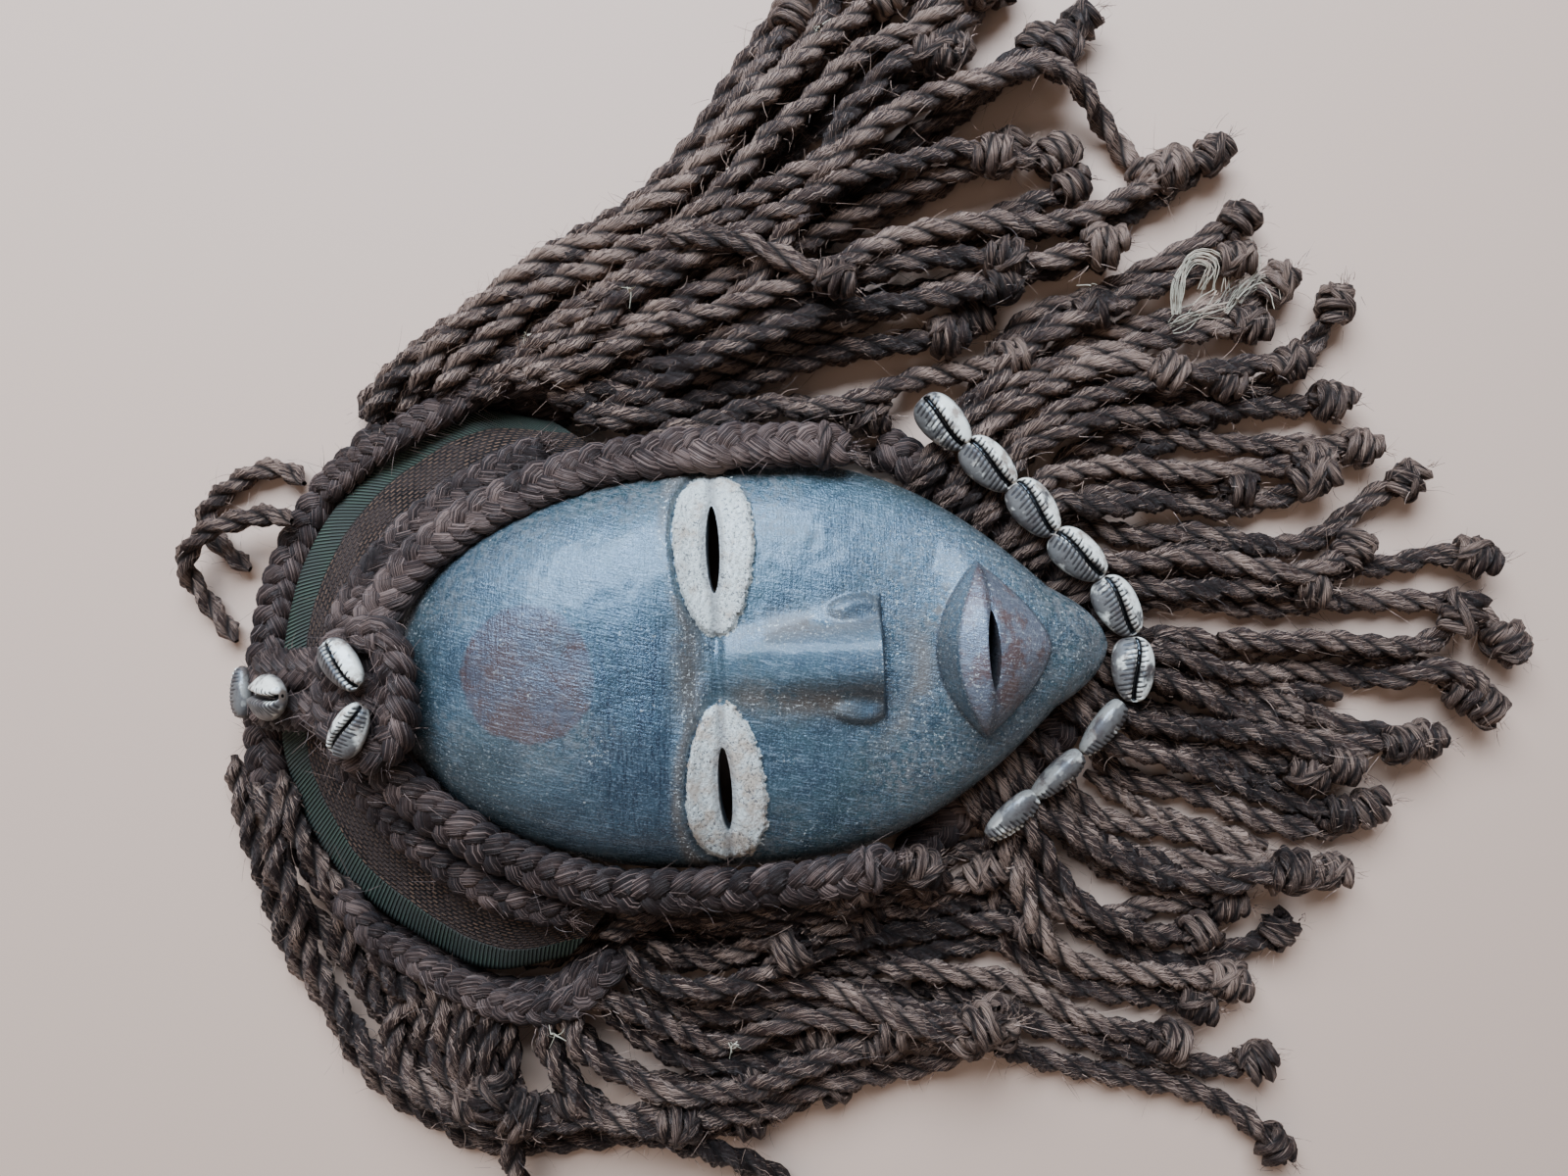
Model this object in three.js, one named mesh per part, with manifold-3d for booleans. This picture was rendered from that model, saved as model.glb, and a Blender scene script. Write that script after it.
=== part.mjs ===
// Carved wooden face mask with a webbing cap band, plaited fibre hair and beard, and cowrie shells.
// Millimetres, +Z up. The mask lies on its back: the face looks up, the chin points along +X,
// and the mask's own left side is +Y. The origin is on the floor under the middle of the mask.
import * as THREE from 'three';
import { mergeVertices } from 'three/addons/utils/BufferGeometryUtils.js';
import Module from 'manifold-3d';

const wasm = await Module();
wasm.setup();

// Places below are drawn from the middle of the face. The middle of the whole mask body lies here,
// and the model is moved so that this is its origin.
const MIDDLE = { x: -21.5, y: -7.5 };

// Driving dimensions of the carved face
const FACE_TOP = -119;            // forehead end of the outline
const FACE_CHIN = 122;            // chin end of the outline
const FACE_WIDEST = -5;           // station of the greatest width
const HALF_WIDTH = 68;
const RIM_INSET = 3;              // the back rim is narrower than the widest contour
const CONTOUR_HEIGHT = 22;        // height of the widest contour above the back rim
const WALL = 8;
const HOLLOW_SHOULDER = 6;        // the hollow starts to close this far below the widest contour
const BELOW_FLOOR = 2;            // cutting solids reach this far past the rim
const NARROWEST = 4;              // half the width of the blunt ends of the outline
const SIDE_ROUNDNESS = 2.4;
const CHIN_TAPER = 1.33;
const FOREHEAD_TAPER = 2.3;

// Height of the midline, without nose and lips, from the forehead end to the chin
const MIDLINE = [
  [FACE_TOP, 26], [-114, 36], [-104, 46], [-86, 56], [-60, 62], [-38, 63], [-24, 61], [-17, 56],
  [0, 53], [25, 50], [48, 46], [62, 45], [80, 46], [100, 42], [112, 36], [119, 29], [FACE_CHIN, 25],
];

const EYE = { x: -7, y: 36.5, halfX: 12.5, halfY: 26.5, raised: 3, slitX: 4.5, slitY: 28 };
const NOSE = {
  start: -9, end: 43, tipHalfWidth: 20, rootHalfWidth: 4, tipHeight: 18, rootHeight: 2, undercut: 4,
};
const MOUTH = { x: 78, halfX: 18.5, halfY: 28, raised: 18, slitX: 3.4, slitY: 27, slitAt: 77 };

// Driving dimensions of the cap, the plaits and the strands
const BAND_THICKNESS = 3;
const BAND_INNER_HEIGHT = 29;
const BAND_OUTER_HEIGHT = 15;
const BAND_BULGE = 3;
const EDGE_BRAID_RADIUS = 6.4;
const BROW_BRAID_RADIUS = 6;
const BEARD_BRAID_RADIUS = 6.2;
const STRAND_RADIUS = 4.7;
const LOOP_RADIUS = 4.2;
const TUBE_SIDES = 8;
const STRAND_STEP = 32;
const BRAID_STEP = 18;
const LOOP_STEP = 14;
const KNOT = { radius: 8, length: 17 };
const LOCK_STEPS = 9;
const LOCK_GAP = 0.6;             // space between neighbouring locks
const LOCK_GROOVE = 0.55;         // how high the grooves are, as a share of the ridges
const LOCK_END = 0.5;             // how high the ridges are at the ends, as a share of the middle
const COWRIE = { length: 21.4, width: 14.2, height: 9.5 };
const CROWN_COWRIE_SCALE = 0.86;
const PAD = { x: -118, y: -2, z: 47.9, length: 31, width: 45, thickness: 7, bevel: 2.5, slope: 0.36 };

const COLOURS = {
  wood: 0x5d7480, webbing: 0x4a3a30, braid: 0x45373a, strand: 0x54423a, loop: 0x4c3d3c, shell: 0xe6e0d2,
};

function material(name, colour, roughness) {
  return new THREE.MeshStandardMaterial({ name, color: colour, roughness, metalness: 0 });
}

// Solids

function toSolid(geometry) {
  const bare = geometry.clone();
  bare.deleteAttribute('normal');
  bare.deleteAttribute('uv');
  const merged = mergeVertices(bare, 1e-4);
  return new wasm.Manifold(new wasm.Mesh({
    numProp: 3,
    vertProperties: new Float32Array(merged.attributes.position.array),
    triVerts: new Uint32Array(merged.index.array),
  }));
}

function fromSolid(solid) {
  const mesh = solid.getMesh();
  const geometry = new THREE.BufferGeometry();
  geometry.setAttribute('position', new THREE.BufferAttribute(new Float32Array(mesh.vertProperties), 3));
  geometry.setIndex(new THREE.BufferAttribute(new Uint32Array(mesh.triVerts), 1));
  geometry.computeVertexNormals();
  return geometry;
}

// A closed solid through rings that all have the same number of points
function loft(rings) {
  const count = rings[0].length;
  const positions = rings.flat().flatMap((p) => [p.x, p.y, p.z]);
  const index = [];
  for (let r = 0; r + 1 < rings.length; r += 1) {
    for (let i = 0; i < count; i += 1) {
      const a = r * count + i;
      const b = r * count + ((i + 1) % count);
      index.push(a, a + count, b, b, a + count, b + count);
    }
  }
  const last = (rings.length - 1) * count;
  for (let i = 1; i + 1 < count; i += 1) {
    index.push(0, i, i + 1);
    index.push(last, last + i + 1, last + i);
  }
  const geometry = new THREE.BufferGeometry();
  geometry.setAttribute('position', new THREE.Float32BufferAttribute(positions, 3));
  geometry.setIndex(index);
  return geometry;
}

function ellipseShape(halfX, halfY, sides) {
  const points = [];
  for (let i = 0; i < sides; i += 1) {
    const angle = (2 * Math.PI * (i + 0.5)) / sides;
    points.push(new THREE.Vector2(halfX * Math.cos(angle), halfY * Math.sin(angle)));
  }
  return new THREE.Shape(points);
}

function curveThrough(points) {
  return new THREE.CatmullRomCurve3(points.map(([x, y, z]) => new THREE.Vector3(x, y, z)));
}

function tube(points, radius, step, flat = 1) {
  const path = curveThrough(points);
  const steps = Math.max(3, Math.round(path.getLength() / step));
  return new THREE.ExtrudeGeometry(ellipseShape(radius * flat, radius, TUBE_SIDES), {
    steps, bevelEnabled: false, extrudePath: path,
  });
}

// The carved face

const midlineCurve = new THREE.CatmullRomCurve3(MIDLINE.map(([x, z]) => new THREE.Vector3(x, 0, z)));
const midlineSamples = midlineCurve.getPoints(400);

function midlineHeight(x) {
  const next = midlineSamples.findIndex((p) => p.x >= x);
  if (next <= 0) return next === 0 ? midlineSamples[0].z : midlineSamples.at(-1).z;
  const [a, b] = [midlineSamples[next - 1], midlineSamples[next]];
  return THREE.MathUtils.mapLinear(x, a.x, b.x, a.z, b.z);
}

function halfWidth(x) {
  if (x < FACE_WIDEST) {
    const t = (FACE_WIDEST - x) / (FACE_WIDEST - FACE_TOP);
    return Math.max(NARROWEST, HALF_WIDTH * Math.sqrt(Math.max(0, 1 - t ** FOREHEAD_TAPER)));
  }
  const t = (x - FACE_WIDEST) / (FACE_CHIN - FACE_WIDEST);
  return Math.max(NARROWEST, HALF_WIDTH * Math.cos((Math.PI / 2) * t ** CHIN_TAPER));
}

function noseHalfWidth(x) {
  const t = THREE.MathUtils.clamp((x - NOSE.start) / (NOSE.end - NOSE.start), 0, 1);
  return THREE.MathUtils.lerp(NOSE.rootHalfWidth, NOSE.tipHalfWidth, t ** 1.5);
}

function noseHeight(x, y) {
  if (x < NOSE.start || x > NOSE.end + NOSE.undercut) return 0;
  const t = Math.min(1, (x - NOSE.start) / (NOSE.end - NOSE.start));
  const ridge = THREE.MathUtils.lerp(NOSE.rootHeight, NOSE.tipHeight, t ** 1.2) * Math.min(1, t * 6);
  const base = x > NOSE.end ? 1 - (x - NOSE.end) / NOSE.undercut : 1;
  const across = Math.min(1, Math.abs(y) / noseHalfWidth(x));
  return ridge * base * (1 - across ** 1.5);
}

function lipHeight(x, y) {
  const along = Math.abs(y) / MOUTH.halfY;
  if (along >= 1) return 0;
  const reach = MOUTH.halfX * (1 - along ** 2) ** 0.8;
  const across = Math.abs(x - MOUTH.x) / reach;
  return across >= 1 ? 0 : MOUTH.raised * (1 - across ** 2) * (1 - along ** 2) ** 0.5;
}

function eyeHeight(x, y) {
  const across = Math.hypot((x - EYE.x) / EYE.halfX, (Math.abs(y) - EYE.y) / EYE.halfY);
  return EYE.raised * THREE.MathUtils.smoothstep(1 - across, 0, 0.2);
}

function faceHeight(x, y) {
  const across = Math.min(1, Math.abs(y) / halfWidth(x));
  const dome = (midlineHeight(x) - CONTOUR_HEIGHT) * Math.sqrt(1 - across ** SIDE_ROUNDNESS);
  return CONTOUR_HEIGHT + dome + Math.max(noseHeight(x, y), eyeHeight(x, y)) + lipHeight(x, y);
}

function spaced(from, to, count) {
  return Array.from({ length: count }, (_, i) => from + ((to - from) * i) / count);
}

// Stations lie close together at the eyes and the lips, and far apart on the plain forehead
const STATIONS = [
  ...spaced(FACE_TOP, -104, 4), ...spaced(-104, -24, 8), ...spaced(-24, 8, 10), ...spaced(8, NOSE.end, 6),
  ...spaced(NOSE.end, 60, 5), ...spaced(60, 98, 12), ...spaced(98, FACE_CHIN, 5), FACE_CHIN,
];
const SIDE_POINTS = 8;

function faceSection(x) {
  const width = halfWidth(x);
  const feature = Math.min(noseHalfWidth(x), width * 0.3);
  const side = [feature * 0.5, feature];
  for (let i = 1; i <= SIDE_POINTS; i += 1) {
    side.push(feature + (width - feature) * Math.sin((Math.PI / 2) * (i / SIDE_POINTS) ** 0.85));
  }
  const across = [...side.map((y) => -y).reverse(), 0, ...side];
  const top = across.map((y) => new THREE.Vector3(x, y, faceHeight(x, y)));
  const rim = width - Math.min(RIM_INSET, width * 0.3);
  return [new THREE.Vector3(x, -rim, 0), ...top, new THREE.Vector3(x, rim, 0)];
}

function hollowSection(x) {
  const width = halfWidth(x) - WALL - 1;
  const crown = midlineHeight(x) - WALL;
  const shoulder = CONTOUR_HEIGHT - HOLLOW_SHOULDER;
  const points = [new THREE.Vector3(x, -width, -BELOW_FLOOR)];
  for (const s of [-1, -0.97, -0.87, -0.7, -0.45, 0, 0.45, 0.7, 0.87, 0.97, 1]) {
    const rise = Math.sqrt(Math.max(0, 1 - Math.abs(s) ** SIDE_ROUNDNESS));
    points.push(new THREE.Vector3(x, s * width, shoulder + (crown - shoulder) * rise));
  }
  points.push(new THREE.Vector3(x, width, -BELOW_FLOOR));
  return points;
}

function slit(x, y, sizeX, sizeY) {
  const prism = new THREE.ExtrudeGeometry(ellipseShape(sizeX / 2, sizeY / 2, 12), {
    depth: 80, bevelEnabled: false,
  });
  return prism.translate(x, y, CONTOUR_HEIGHT);
}

function faceGeometry() {
  let solid = toSolid(loft(STATIONS.map(faceSection)));
  const hollowFrom = FACE_TOP + WALL + 2;
  const hollowTo = FACE_CHIN - 2.5 * WALL;
  const hollowStations = [...spaced(hollowFrom, hollowTo, 14), hollowTo];
  solid = solid.subtract(toSolid(loft(hollowStations.map(hollowSection))));
  for (const side of [1, -1]) {
    solid = solid.subtract(toSolid(slit(EYE.x, side * EYE.y, EYE.slitX, EYE.slitY)));
  }
  solid = solid.subtract(toSolid(slit(MOUTH.slitAt, 0, MOUTH.slitX, MOUTH.slitY)));
  return fromSolid(solid);
}

// The cap band: a sloping strip round the forehead, from its inner edge to its outer edge

const BAND_INNER = [
  [-44, 73], [-68, 65], [-92, 53], [-110, 38], [-123, 20], [-128, 0],
  [-123, -20], [-110, -38], [-92, -53], [-68, -65], [-44, -73],
];
const BAND_OUTER = [
  [-62, 86], [-90, 91], [-116, 80], [-138, 61], [-153, 35], [-160, 4],
  [-159, -30], [-145, -63], [-121, -86], [-94, -101], [-66, -98],
];
const BAND_SECTIONS = 26;

function bandGeometry() {
  const inner = curveThrough(BAND_INNER.map(([x, y]) => [x, y, BAND_INNER_HEIGHT]));
  const outer = curveThrough(BAND_OUTER.map(([x, y]) => [x, y, BAND_OUTER_HEIGHT]));
  const rings = [];
  for (let i = 0; i <= BAND_SECTIONS; i += 1) {
    const [a, b] = [inner.getPoint(i / BAND_SECTIONS), outer.getPoint(i / BAND_SECTIONS)];
    const middle = a.clone().lerp(b, 0.5);
    middle.z += BAND_BULGE;
    const lower = [a, middle, b].map((p) => p.clone().setZ(p.z - BAND_THICKNESS));
    rings.push([...lower, b, middle, a]);
  }
  return loft(rings);
}

// Plaits that edge the cap and the face

const BROW_BRAID = [
  [-108, 36, 42], [-92, 50.5, 41.5], [-72, 62, 41], [-46, 69, 39.5], [-16, 72, 38], [14, 72, 37],
  [38, 69, 36],
];
const EDGE_BRAID = [
  [-57, 89], [-76, 97], [-95, 99.5], [-112, 92], [-128, 80], [-143, 66], [-155, 49], [-164, 26], [-169, 0],
  [-170, -22], [-166, -42], [-156, -60], [-142, -78], [-127, -93], [-112, -104], [-98, -112], [-84, -115],
  [-72, -114], [-62, -108], [-54, -101],
].map(([x, y]) => [x, y, EDGE_BRAID_RADIUS]);
const BEARD_BRAID = [
  [50, 74], [64, 64], [78, 53], [92, 43], [106, 32], [120, 18.5], [131, 1],
  [121, -17], [106, -31], [92, -42], [78, -52], [64, -63], [50, -74],
].map(([x, y]) => [x, y, BEARD_BRAID_RADIUS + 1]);
const CROWN_BRAID = [[-137, -1, 35.5], [-146, 0, 32], [-154, 1, 27], [-162, 1, 22], [-170, 1, 19]];

function mirrored(points) {
  return points.map(([x, y, z]) => [x, -y, z]);
}

function padGeometry() {
  const round = PAD.width * 0.26;
  const [halfX, halfY] = [PAD.length / 2 - PAD.bevel, PAD.width / 2 - PAD.bevel];
  const shape = new THREE.Shape();
  shape.absarc(halfX - round, halfY - round, round, 0, Math.PI / 2);
  shape.absarc(round - halfX, halfY - round, round, Math.PI / 2, Math.PI);
  shape.absarc(round - halfX, round - halfY, round, Math.PI, 1.5 * Math.PI);
  shape.absarc(halfX - round, round - halfY, round, 1.5 * Math.PI, 2 * Math.PI);
  const pad = new THREE.ExtrudeGeometry(shape, {
    depth: PAD.thickness, steps: 1, curveSegments: 3,
    bevelThickness: PAD.bevel, bevelSize: PAD.bevel, bevelSegments: 1,
  });
  return pad.translate(0, 0, -PAD.thickness / 2);
}

// Cowrie shells: place, turn about +Z, and tilt towards the outside, in degrees
const CROWN_COWRIES = [
  { at: [-122.5, 8, 59.2], turn: -48, lean: -20 }, { at: [-121, -12, 60], turn: 55, lean: -20 },
  { at: [-153, -2, 40.6], turn: 0, lean: -32 }, { at: [-176.2, 0, 20], turn: 90, lean: -70 },
];
const BEARD_COWRIES = [
  { at: [71, 77.5], turn: -49 }, { at: [85.5, 62.5], turn: -46 }, { at: [100, 47], turn: -54 },
  { at: [114, 30.5], turn: -44 }, { at: [126.5, 12.5], turn: -62 }, { at: [130.5, -9], turn: -91 },
  { at: [119, -28], turn: -130 }, { at: [103, -43], turn: -140 }, { at: [87, -56], turn: -142 },
];
const BEARD_COWRIE_HEIGHT = 23;

function cowrieGeometry(scale) {
  const body = new THREE.SphereGeometry(scale / 2, 8, 5);
  return body.rotateZ(Math.PI / 8).scale(COWRIE.width, COWRIE.length, COWRIE.height);
}

// Routes of the free strands, from where each leaves its plait to its knot
const HAIR_STRANDS = [
  [[-131, 92, 7], [-125, 102, 5], [-112, 113, 5], [-95, 125, 5], [-60, 147, 5], [-30, 163, 5], [-10, 182, 5],
    [6, 204, 5], [22, 225, 5], [34, 240, 8]],
  [[-121, 88, 19], [-113, 99, 17], [-98, 116, 16], [-60, 141, 15], [-30, 153, 15], [-4, 169, 14],
    [18, 191, 7],
    [38, 212, 5], [60, 236, 8]],
  [[-98, 110, 6], [-88, 116, 5], [-74, 125, 5], [-60, 133, 5], [-30, 147, 5], [0, 161, 5], [28, 181, 5],
    [52, 202, 5], [84, 234, 8]],
  [[-102, 97, 19], [-94, 105, 16], [-60, 126, 15], [-30, 141, 15], [0, 153, 14], [30, 169, 8], [56, 187, 5],
    [70, 199, 5], [81, 208, 8]],
  [[-78, 109, 7], [-60, 119, 5], [-30, 132, 5], [0, 142, 5], [35, 155, 5], [65, 173, 5],
    [92, 194, 5], [112, 206, 5], [126, 215, 8]],
  [[-84, 98, 19], [-74, 105, 16], [-60, 112, 15], [-30, 125, 15], [0, 135, 14.5], [36, 145, 13], [66, 158, 6],
    [85, 168, 5], [98, 173, 8]],
  [[-65, 105, 7], [-50, 108, 5], [-30, 115, 5], [0, 129, 5], [25, 135, 5], [58, 142, 5], [100, 146, 5],
    [136, 148, 5], [158, 158, 5], [170, 167, 6]],
  [[-68, 95, 19], [-58, 99, 16], [-40, 104, 15], [0, 114, 13], [40, 123, 6], [80, 128, 5], [110, 131, 5],
    [128, 135.5, 8]],
  [[-48, 94, 7], [-30, 97, 5], [0, 101, 5], [40, 106, 5], [65, 110, 5], [84, 115, 8]],
  [[-182, -24, 6], [-181, -37, 5], [-179, -50, 5], [-175.5, -62, 5], [-172, -74, 5], [-169, -85, 5],
    [-164.5, -96, 5], [-157.5, -106.5, 5], [-151.5, -116, 5], [-147.5, -126, 5], [-141, -136, 5],
    [-134, -144, 5],
    [-125, -151, 5], [-115, -157, 5], [-104, -164, 5], [-80, -166, 5], [-50, -165, 5], [-20, -164, 5],
    [6, -157, 5], [22, -149, 8]],
  [[-162, -51, 20], [-165, -63, 18], [-160.5, -76, 10], [-153, -89, 5], [-144, -102, 5], [-136, -115, 5],
    [-127, -127, 5], [-115, -138, 5], [-102, -146, 8]],
  [[-87, -116, 19], [-88, -128, 17], [-88, -142, 16], [-89, -158, 17], [-89, -170, 16], [-88, -183, 10],
    [-88, -193, 8]],
  [[-67, -124, 7], [-58, -137, 5], [-43, -146, 5], [-26, -148, 5], [-10, -146, 8]],
  [[-57, -119, 7], [-44, -129, 5], [-25, -133, 5], [-6, -133, 5], [16, -132, 8]],
  [[-44, -101, 7], [-25, -105, 5], [0, -105, 5], [25, -101, 5], [44, -105, 5], [66, -119, 5], [90, -132, 5],
    [115, -141, 5], [138, -148, 5], [157, -152, 5], [169, -150, 8]],
  [[-46, -112, 7], [-20, -118, 5], [10, -118, 5], [38, -118, 5], [62, -131, 5], [90, -144, 5], [118, -152, 5],
    [146, -159, 5], [163, -168, 5], [174, -178, 8]],
  [[-76, -115, 19], [-73, -130, 16], [-64, -145, 16], [-45, -158, 16], [-22, -167, 16], [-8, -175, 11],
    [2, -184, 6], [5, -192, 8]],
];
const BEARD_STRANDS = [
  [[72, 72, 7], [79, 81, 5], [86, 91, 5], [92, 101, 5], [100.5, 110.7, 5], [109, 116.6, 5], [119.5, 119, 5],
    [131, 122, 5], [141, 126.5, 5], [151, 131, 5], [160, 135, 5], [168, 139, 5], [178, 144, 8]],
  [[82, 63, 7], [92, 75, 5], [100, 87, 5], [107, 96, 5], [116, 102, 5], [126, 106, 5], [137, 109, 5],
    [149, 111, 5], [160, 112.3, 5], [171, 113.6, 5], [182, 116, 5], [190, 121, 8]],
  [[92, 56, 7], [101, 67, 5], [108, 76, 5], [116, 82, 5], [126, 85, 5], [137, 86, 5], [149, 86, 5],
    [160, 85.5, 5], [171, 85, 5], [182, 85.5, 5], [193, 89, 5], [201, 95, 5], [206, 102, 5], [211, 112, 8]],
  [[101, 48, 7], [110, 58, 5], [117, 65, 5], [125, 69, 5], [137, 71, 5], [148, 71, 5], [159, 69.5, 5],
    [170, 67.5, 5], [183, 66, 5], [196, 65.5, 5], [206, 65, 5], [216, 63, 8]],
  [[112, 40, 7], [120, 42, 5], [127, 39.5, 5], [136, 36.5, 5], [146, 36, 5], [157, 36.5, 5], [168, 34.5, 5],
    [181, 31, 5], [192, 30, 5], [202, 32, 5], [211, 37, 5], [218, 42, 5], [224, 46, 5], [232, 50, 8]],
  [[124.5, 28, 7], [133, 26, 5], [145, 25, 5], [157, 25.5, 5], [168, 23.5, 5], [181, 20.5, 5], [192, 19.5, 5],
    [202, 20.5, 5], [212, 21, 5], [222, 21, 5], [233, 22, 5], [243, 24, 5], [254, 23, 8]],
  [[135, 13, 7], [149, 13, 5], [162, 12, 5], [174, 9.5, 5], [187, 8.5, 5], [200, 9.5, 5], [212.5, 10, 5],
    [225, 9, 5], [238, 8, 5], [250, 6, 5], [259, 2, 5], [265, -6, 8]],
  [[138, -1, 7], [151, 0.5, 5], [164, -3, 5], [176, -5.5, 5], [189, -5, 5], [202, -6, 5], [214, -8.5, 5],
    [227, -11.5, 5], [239, -16, 5], [248, -23, 8]],
  [[133, -14, 7], [142, -12.5, 5], [152, -13.5, 5], [162, -16, 5], [172, -20, 5], [182, -22.5, 5],
    [192, -26, 5], [201, -31, 5], [210, -35, 5], [221, -37.5, 5], [233, -40, 8]],
  [[119, -32, 7], [123, -41, 5], [130, -48, 5], [138, -51.5, 5], [147, -53, 5], [156, -56, 5],
    [166.5, -61, 5], [177, -66, 5], [189, -69, 5], [200, -70, 5], [207, -68, 5], [213, -64, 8]],
  [[106, -43, 7], [112, -54, 5], [121, -62, 5], [133, -66, 5], [145, -67.5, 5], [157, -71, 5],
    [168, -76, 5], [179, -80, 5], [189, -83, 5], [198, -84, 8]],
  [[94, -54, 7], [94, -66, 5], [97, -78, 5], [103, -90, 5], [110, -98, 5], [119, -104, 5], [128, -109, 5],
    [139, -114, 5], [150, -115, 5], [161, -113, 5], [170, -110, 5], [179, -105, 8]],
  [[82, -62, 7], [82, -74, 5], [82, -86, 5], [84, -97, 5], [88, -106, 5], [96, -114, 5], [106, -119.5, 5],
    [117, -123, 5], [130, -125, 5], [142, -127, 5], [149, -128, 8]],
];
const TIE_LOOPS = [
  [[-152, 70, 7], [-158, 75, 5], [-167, 76, 5], [-178, 71, 5], [-187, 63, 5], [-187, 55, 5], [-180, 47, 5],
    [-173, 41, 6]],
  [[-152, 56, 19], [-160, 59, 16], [-171, 58, 16], [-184, 54, 16], [-193, 44, 12], [-191, 34, 6],
    [-185, 25, 5],
    [-179, 16, 6]],
];

// A strand is a tube along its route with a wound knot on its free end
function strandGeometry(route) {
  const path = curveThrough(route);
  const knot = new THREE.LatheGeometry([
    new THREE.Vector2(0, -KNOT.length / 2), new THREE.Vector2(KNOT.radius * 0.85, -KNOT.length * 0.25),
    new THREE.Vector2(KNOT.radius, KNOT.length * 0.1), new THREE.Vector2(0, KNOT.length / 2),
  ], TUBE_SIDES);
  const end = path.getPoint(1);
  const upright = new THREE.Vector3(0, 1, 0);
  knot.applyQuaternion(new THREE.Quaternion().setFromUnitVectors(upright, path.getTangent(1)));
  knot.translate(end.x, end.y, KNOT.radius + 0.5);
  return fromSolid(toSolid(tube(route, STRAND_RADIUS, STRAND_STEP)).add(toSolid(knot)));
}

// Locks: loose ropes that lie close together on top of the strands. Each lock is one solid with a ridge for
// each rope, and its underside runs from the route of one edge to that of the other.
const UPPER_EDGES = [
  [[-126, 85, 24], [-118, 97, 22.4], [-105, 110, 21.6], [-85, 123, 20.8], [-57, 141, 20.4], [-29, 155, 20.4],
    [-6, 172, 19.4], [9, 193, 13], [20, 214, 10.4]],
  [[-99, 95, 24.6], [-89, 106, 22], [-62, 121, 20.8], [-32, 136, 20.4], [0, 151, 19.8], [30, 171, 17.4],
    [52, 192, 17.2], [70, 214, 17.2]],
  [[-83, 98, 24], [-71, 105, 21.8], [-42, 115, 20.8], [-11, 128, 20.6], [22, 142, 19.6], [56, 159, 17.4],
    [86, 173, 17.2], [108, 182, 17.2]],
  [[-65, 95, 24], [-45, 97, 21.6], [-17, 101, 20.6], [12, 110, 18.8], [50, 121, 17.4], [86, 134, 17.2],
    [116, 141, 17.2]],
  [[-51, 90, 19.4], [-32, 87, 17.8], [-5, 89, 17.4], [20, 95, 15.6], [45, 102, 14.6], [66, 110, 14.4]],
];
const LOCKS = [
  { from: UPPER_EDGES[0], to: UPPER_EDGES[1], ropes: 4, height: 11 },
  { from: UPPER_EDGES[1], to: UPPER_EDGES[2], ropes: 4, height: 11.5 },
  { from: UPPER_EDGES[2], to: UPPER_EDGES[3], ropes: 4, height: 12 },
  { from: UPPER_EDGES[3], to: UPPER_EDGES[4], ropes: 3, height: 12 },
  { from: [[-136, -76, 13.2], [-132, -89, 13.4], [-126, -100, 11.4], [-118, -109, 10.4], [-111, -120, 10.4],
    [-105, -129, 13], [-100, -134, 17], [-95, -138, 17]],
    to: [[-147, -73, 13.2], [-147, -86, 13.4], [-144, -98, 11.4], [-138, -109, 10.4], [-130, -120, 10.4],
      [-122, -132, 13], [-113, -141, 17], [-104, -147, 17]],
    ropes: 3, height: 11 },
  { from: [[-55, -105, 13.2], [-46, -114, 13], [-36, -119.5, 10.6], [-26, -123, 11], [-10, -125, 16],
    [6, -124, 17.2], [22, -123, 17.2], [40, -124, 17.2]],
    to: [[-65, -115, 13.4], [-60, -128, 11], [-50, -140, 10.4], [-36, -147, 11], [-18, -149, 16],
      [0, -146, 17.2], [20, -140, 17.2], [38, -136, 17.2]],
    ropes: 3, height: 10 },
  { from: [[-40, -92, 13.4], [-22, -93, 10.3], [-5, -94, 9.9], [15, -91, 9.9], [33, -87, 9.9],
    [53, -84, 9.9], [76, -78, 9.9]],
    to: [[-49, -103, 13.4], [-30, -113, 10.3], [-9, -115, 9.9], [12, -114, 9.9], [34, -115, 9.9],
      [55, -121, 9.9], [74, -127, 9.9]],
    ropes: 4, height: 13 },
];

function lockGeometry({ from, to, ropes, height }) {
  const [first, last] = [curveThrough(from), curveThrough(to)];
  const rings = [];
  for (let i = 0; i <= LOCK_STEPS; i += 1) {
    const t = i / LOCK_STEPS;
    const [a, b] = [first.getPointAt(t), last.getPointAt(t)];
    const inset = LOCK_GAP / 2 / a.distanceTo(b);
    const crest = height * THREE.MathUtils.lerp(LOCK_END, 1, Math.sin(Math.PI * t) ** 0.6);
    const ring = [a.clone().lerp(b, inset), b.clone().lerp(a, inset)];
    for (let j = 2 * ropes; j >= 0; j -= 1) {
      const point = ring[0].clone().lerp(ring[1], j / (2 * ropes));
      point.z += crest * (j % 2 === 1 ? 1 : LOCK_GROOVE);
      ring.push(point);
    }
    rings.push(ring);
  }
  return loft(rings);
}

// The model

const mask = new THREE.Group();
mask.position.set(-MIDDLE.x, -MIDDLE.y, 0);

function addPart(name, geometry, colour, roughness, parent = mask) {
  const mesh = new THREE.Mesh(geometry, material(`${name}_finish`, colour, roughness));
  mesh.name = name;
  parent.add(mesh);
  return mesh;
}

function addCowrie(name, scale, place, height, turn, lean) {
  const shell = addPart(name, cowrieGeometry(scale), COLOURS.shell, 0.35);
  shell.position.set(place[0], place[1], height);
  shell.rotation.set(0, THREE.MathUtils.degToRad(lean), THREE.MathUtils.degToRad(turn + 90), 'YZX');
  return shell;
}

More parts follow.
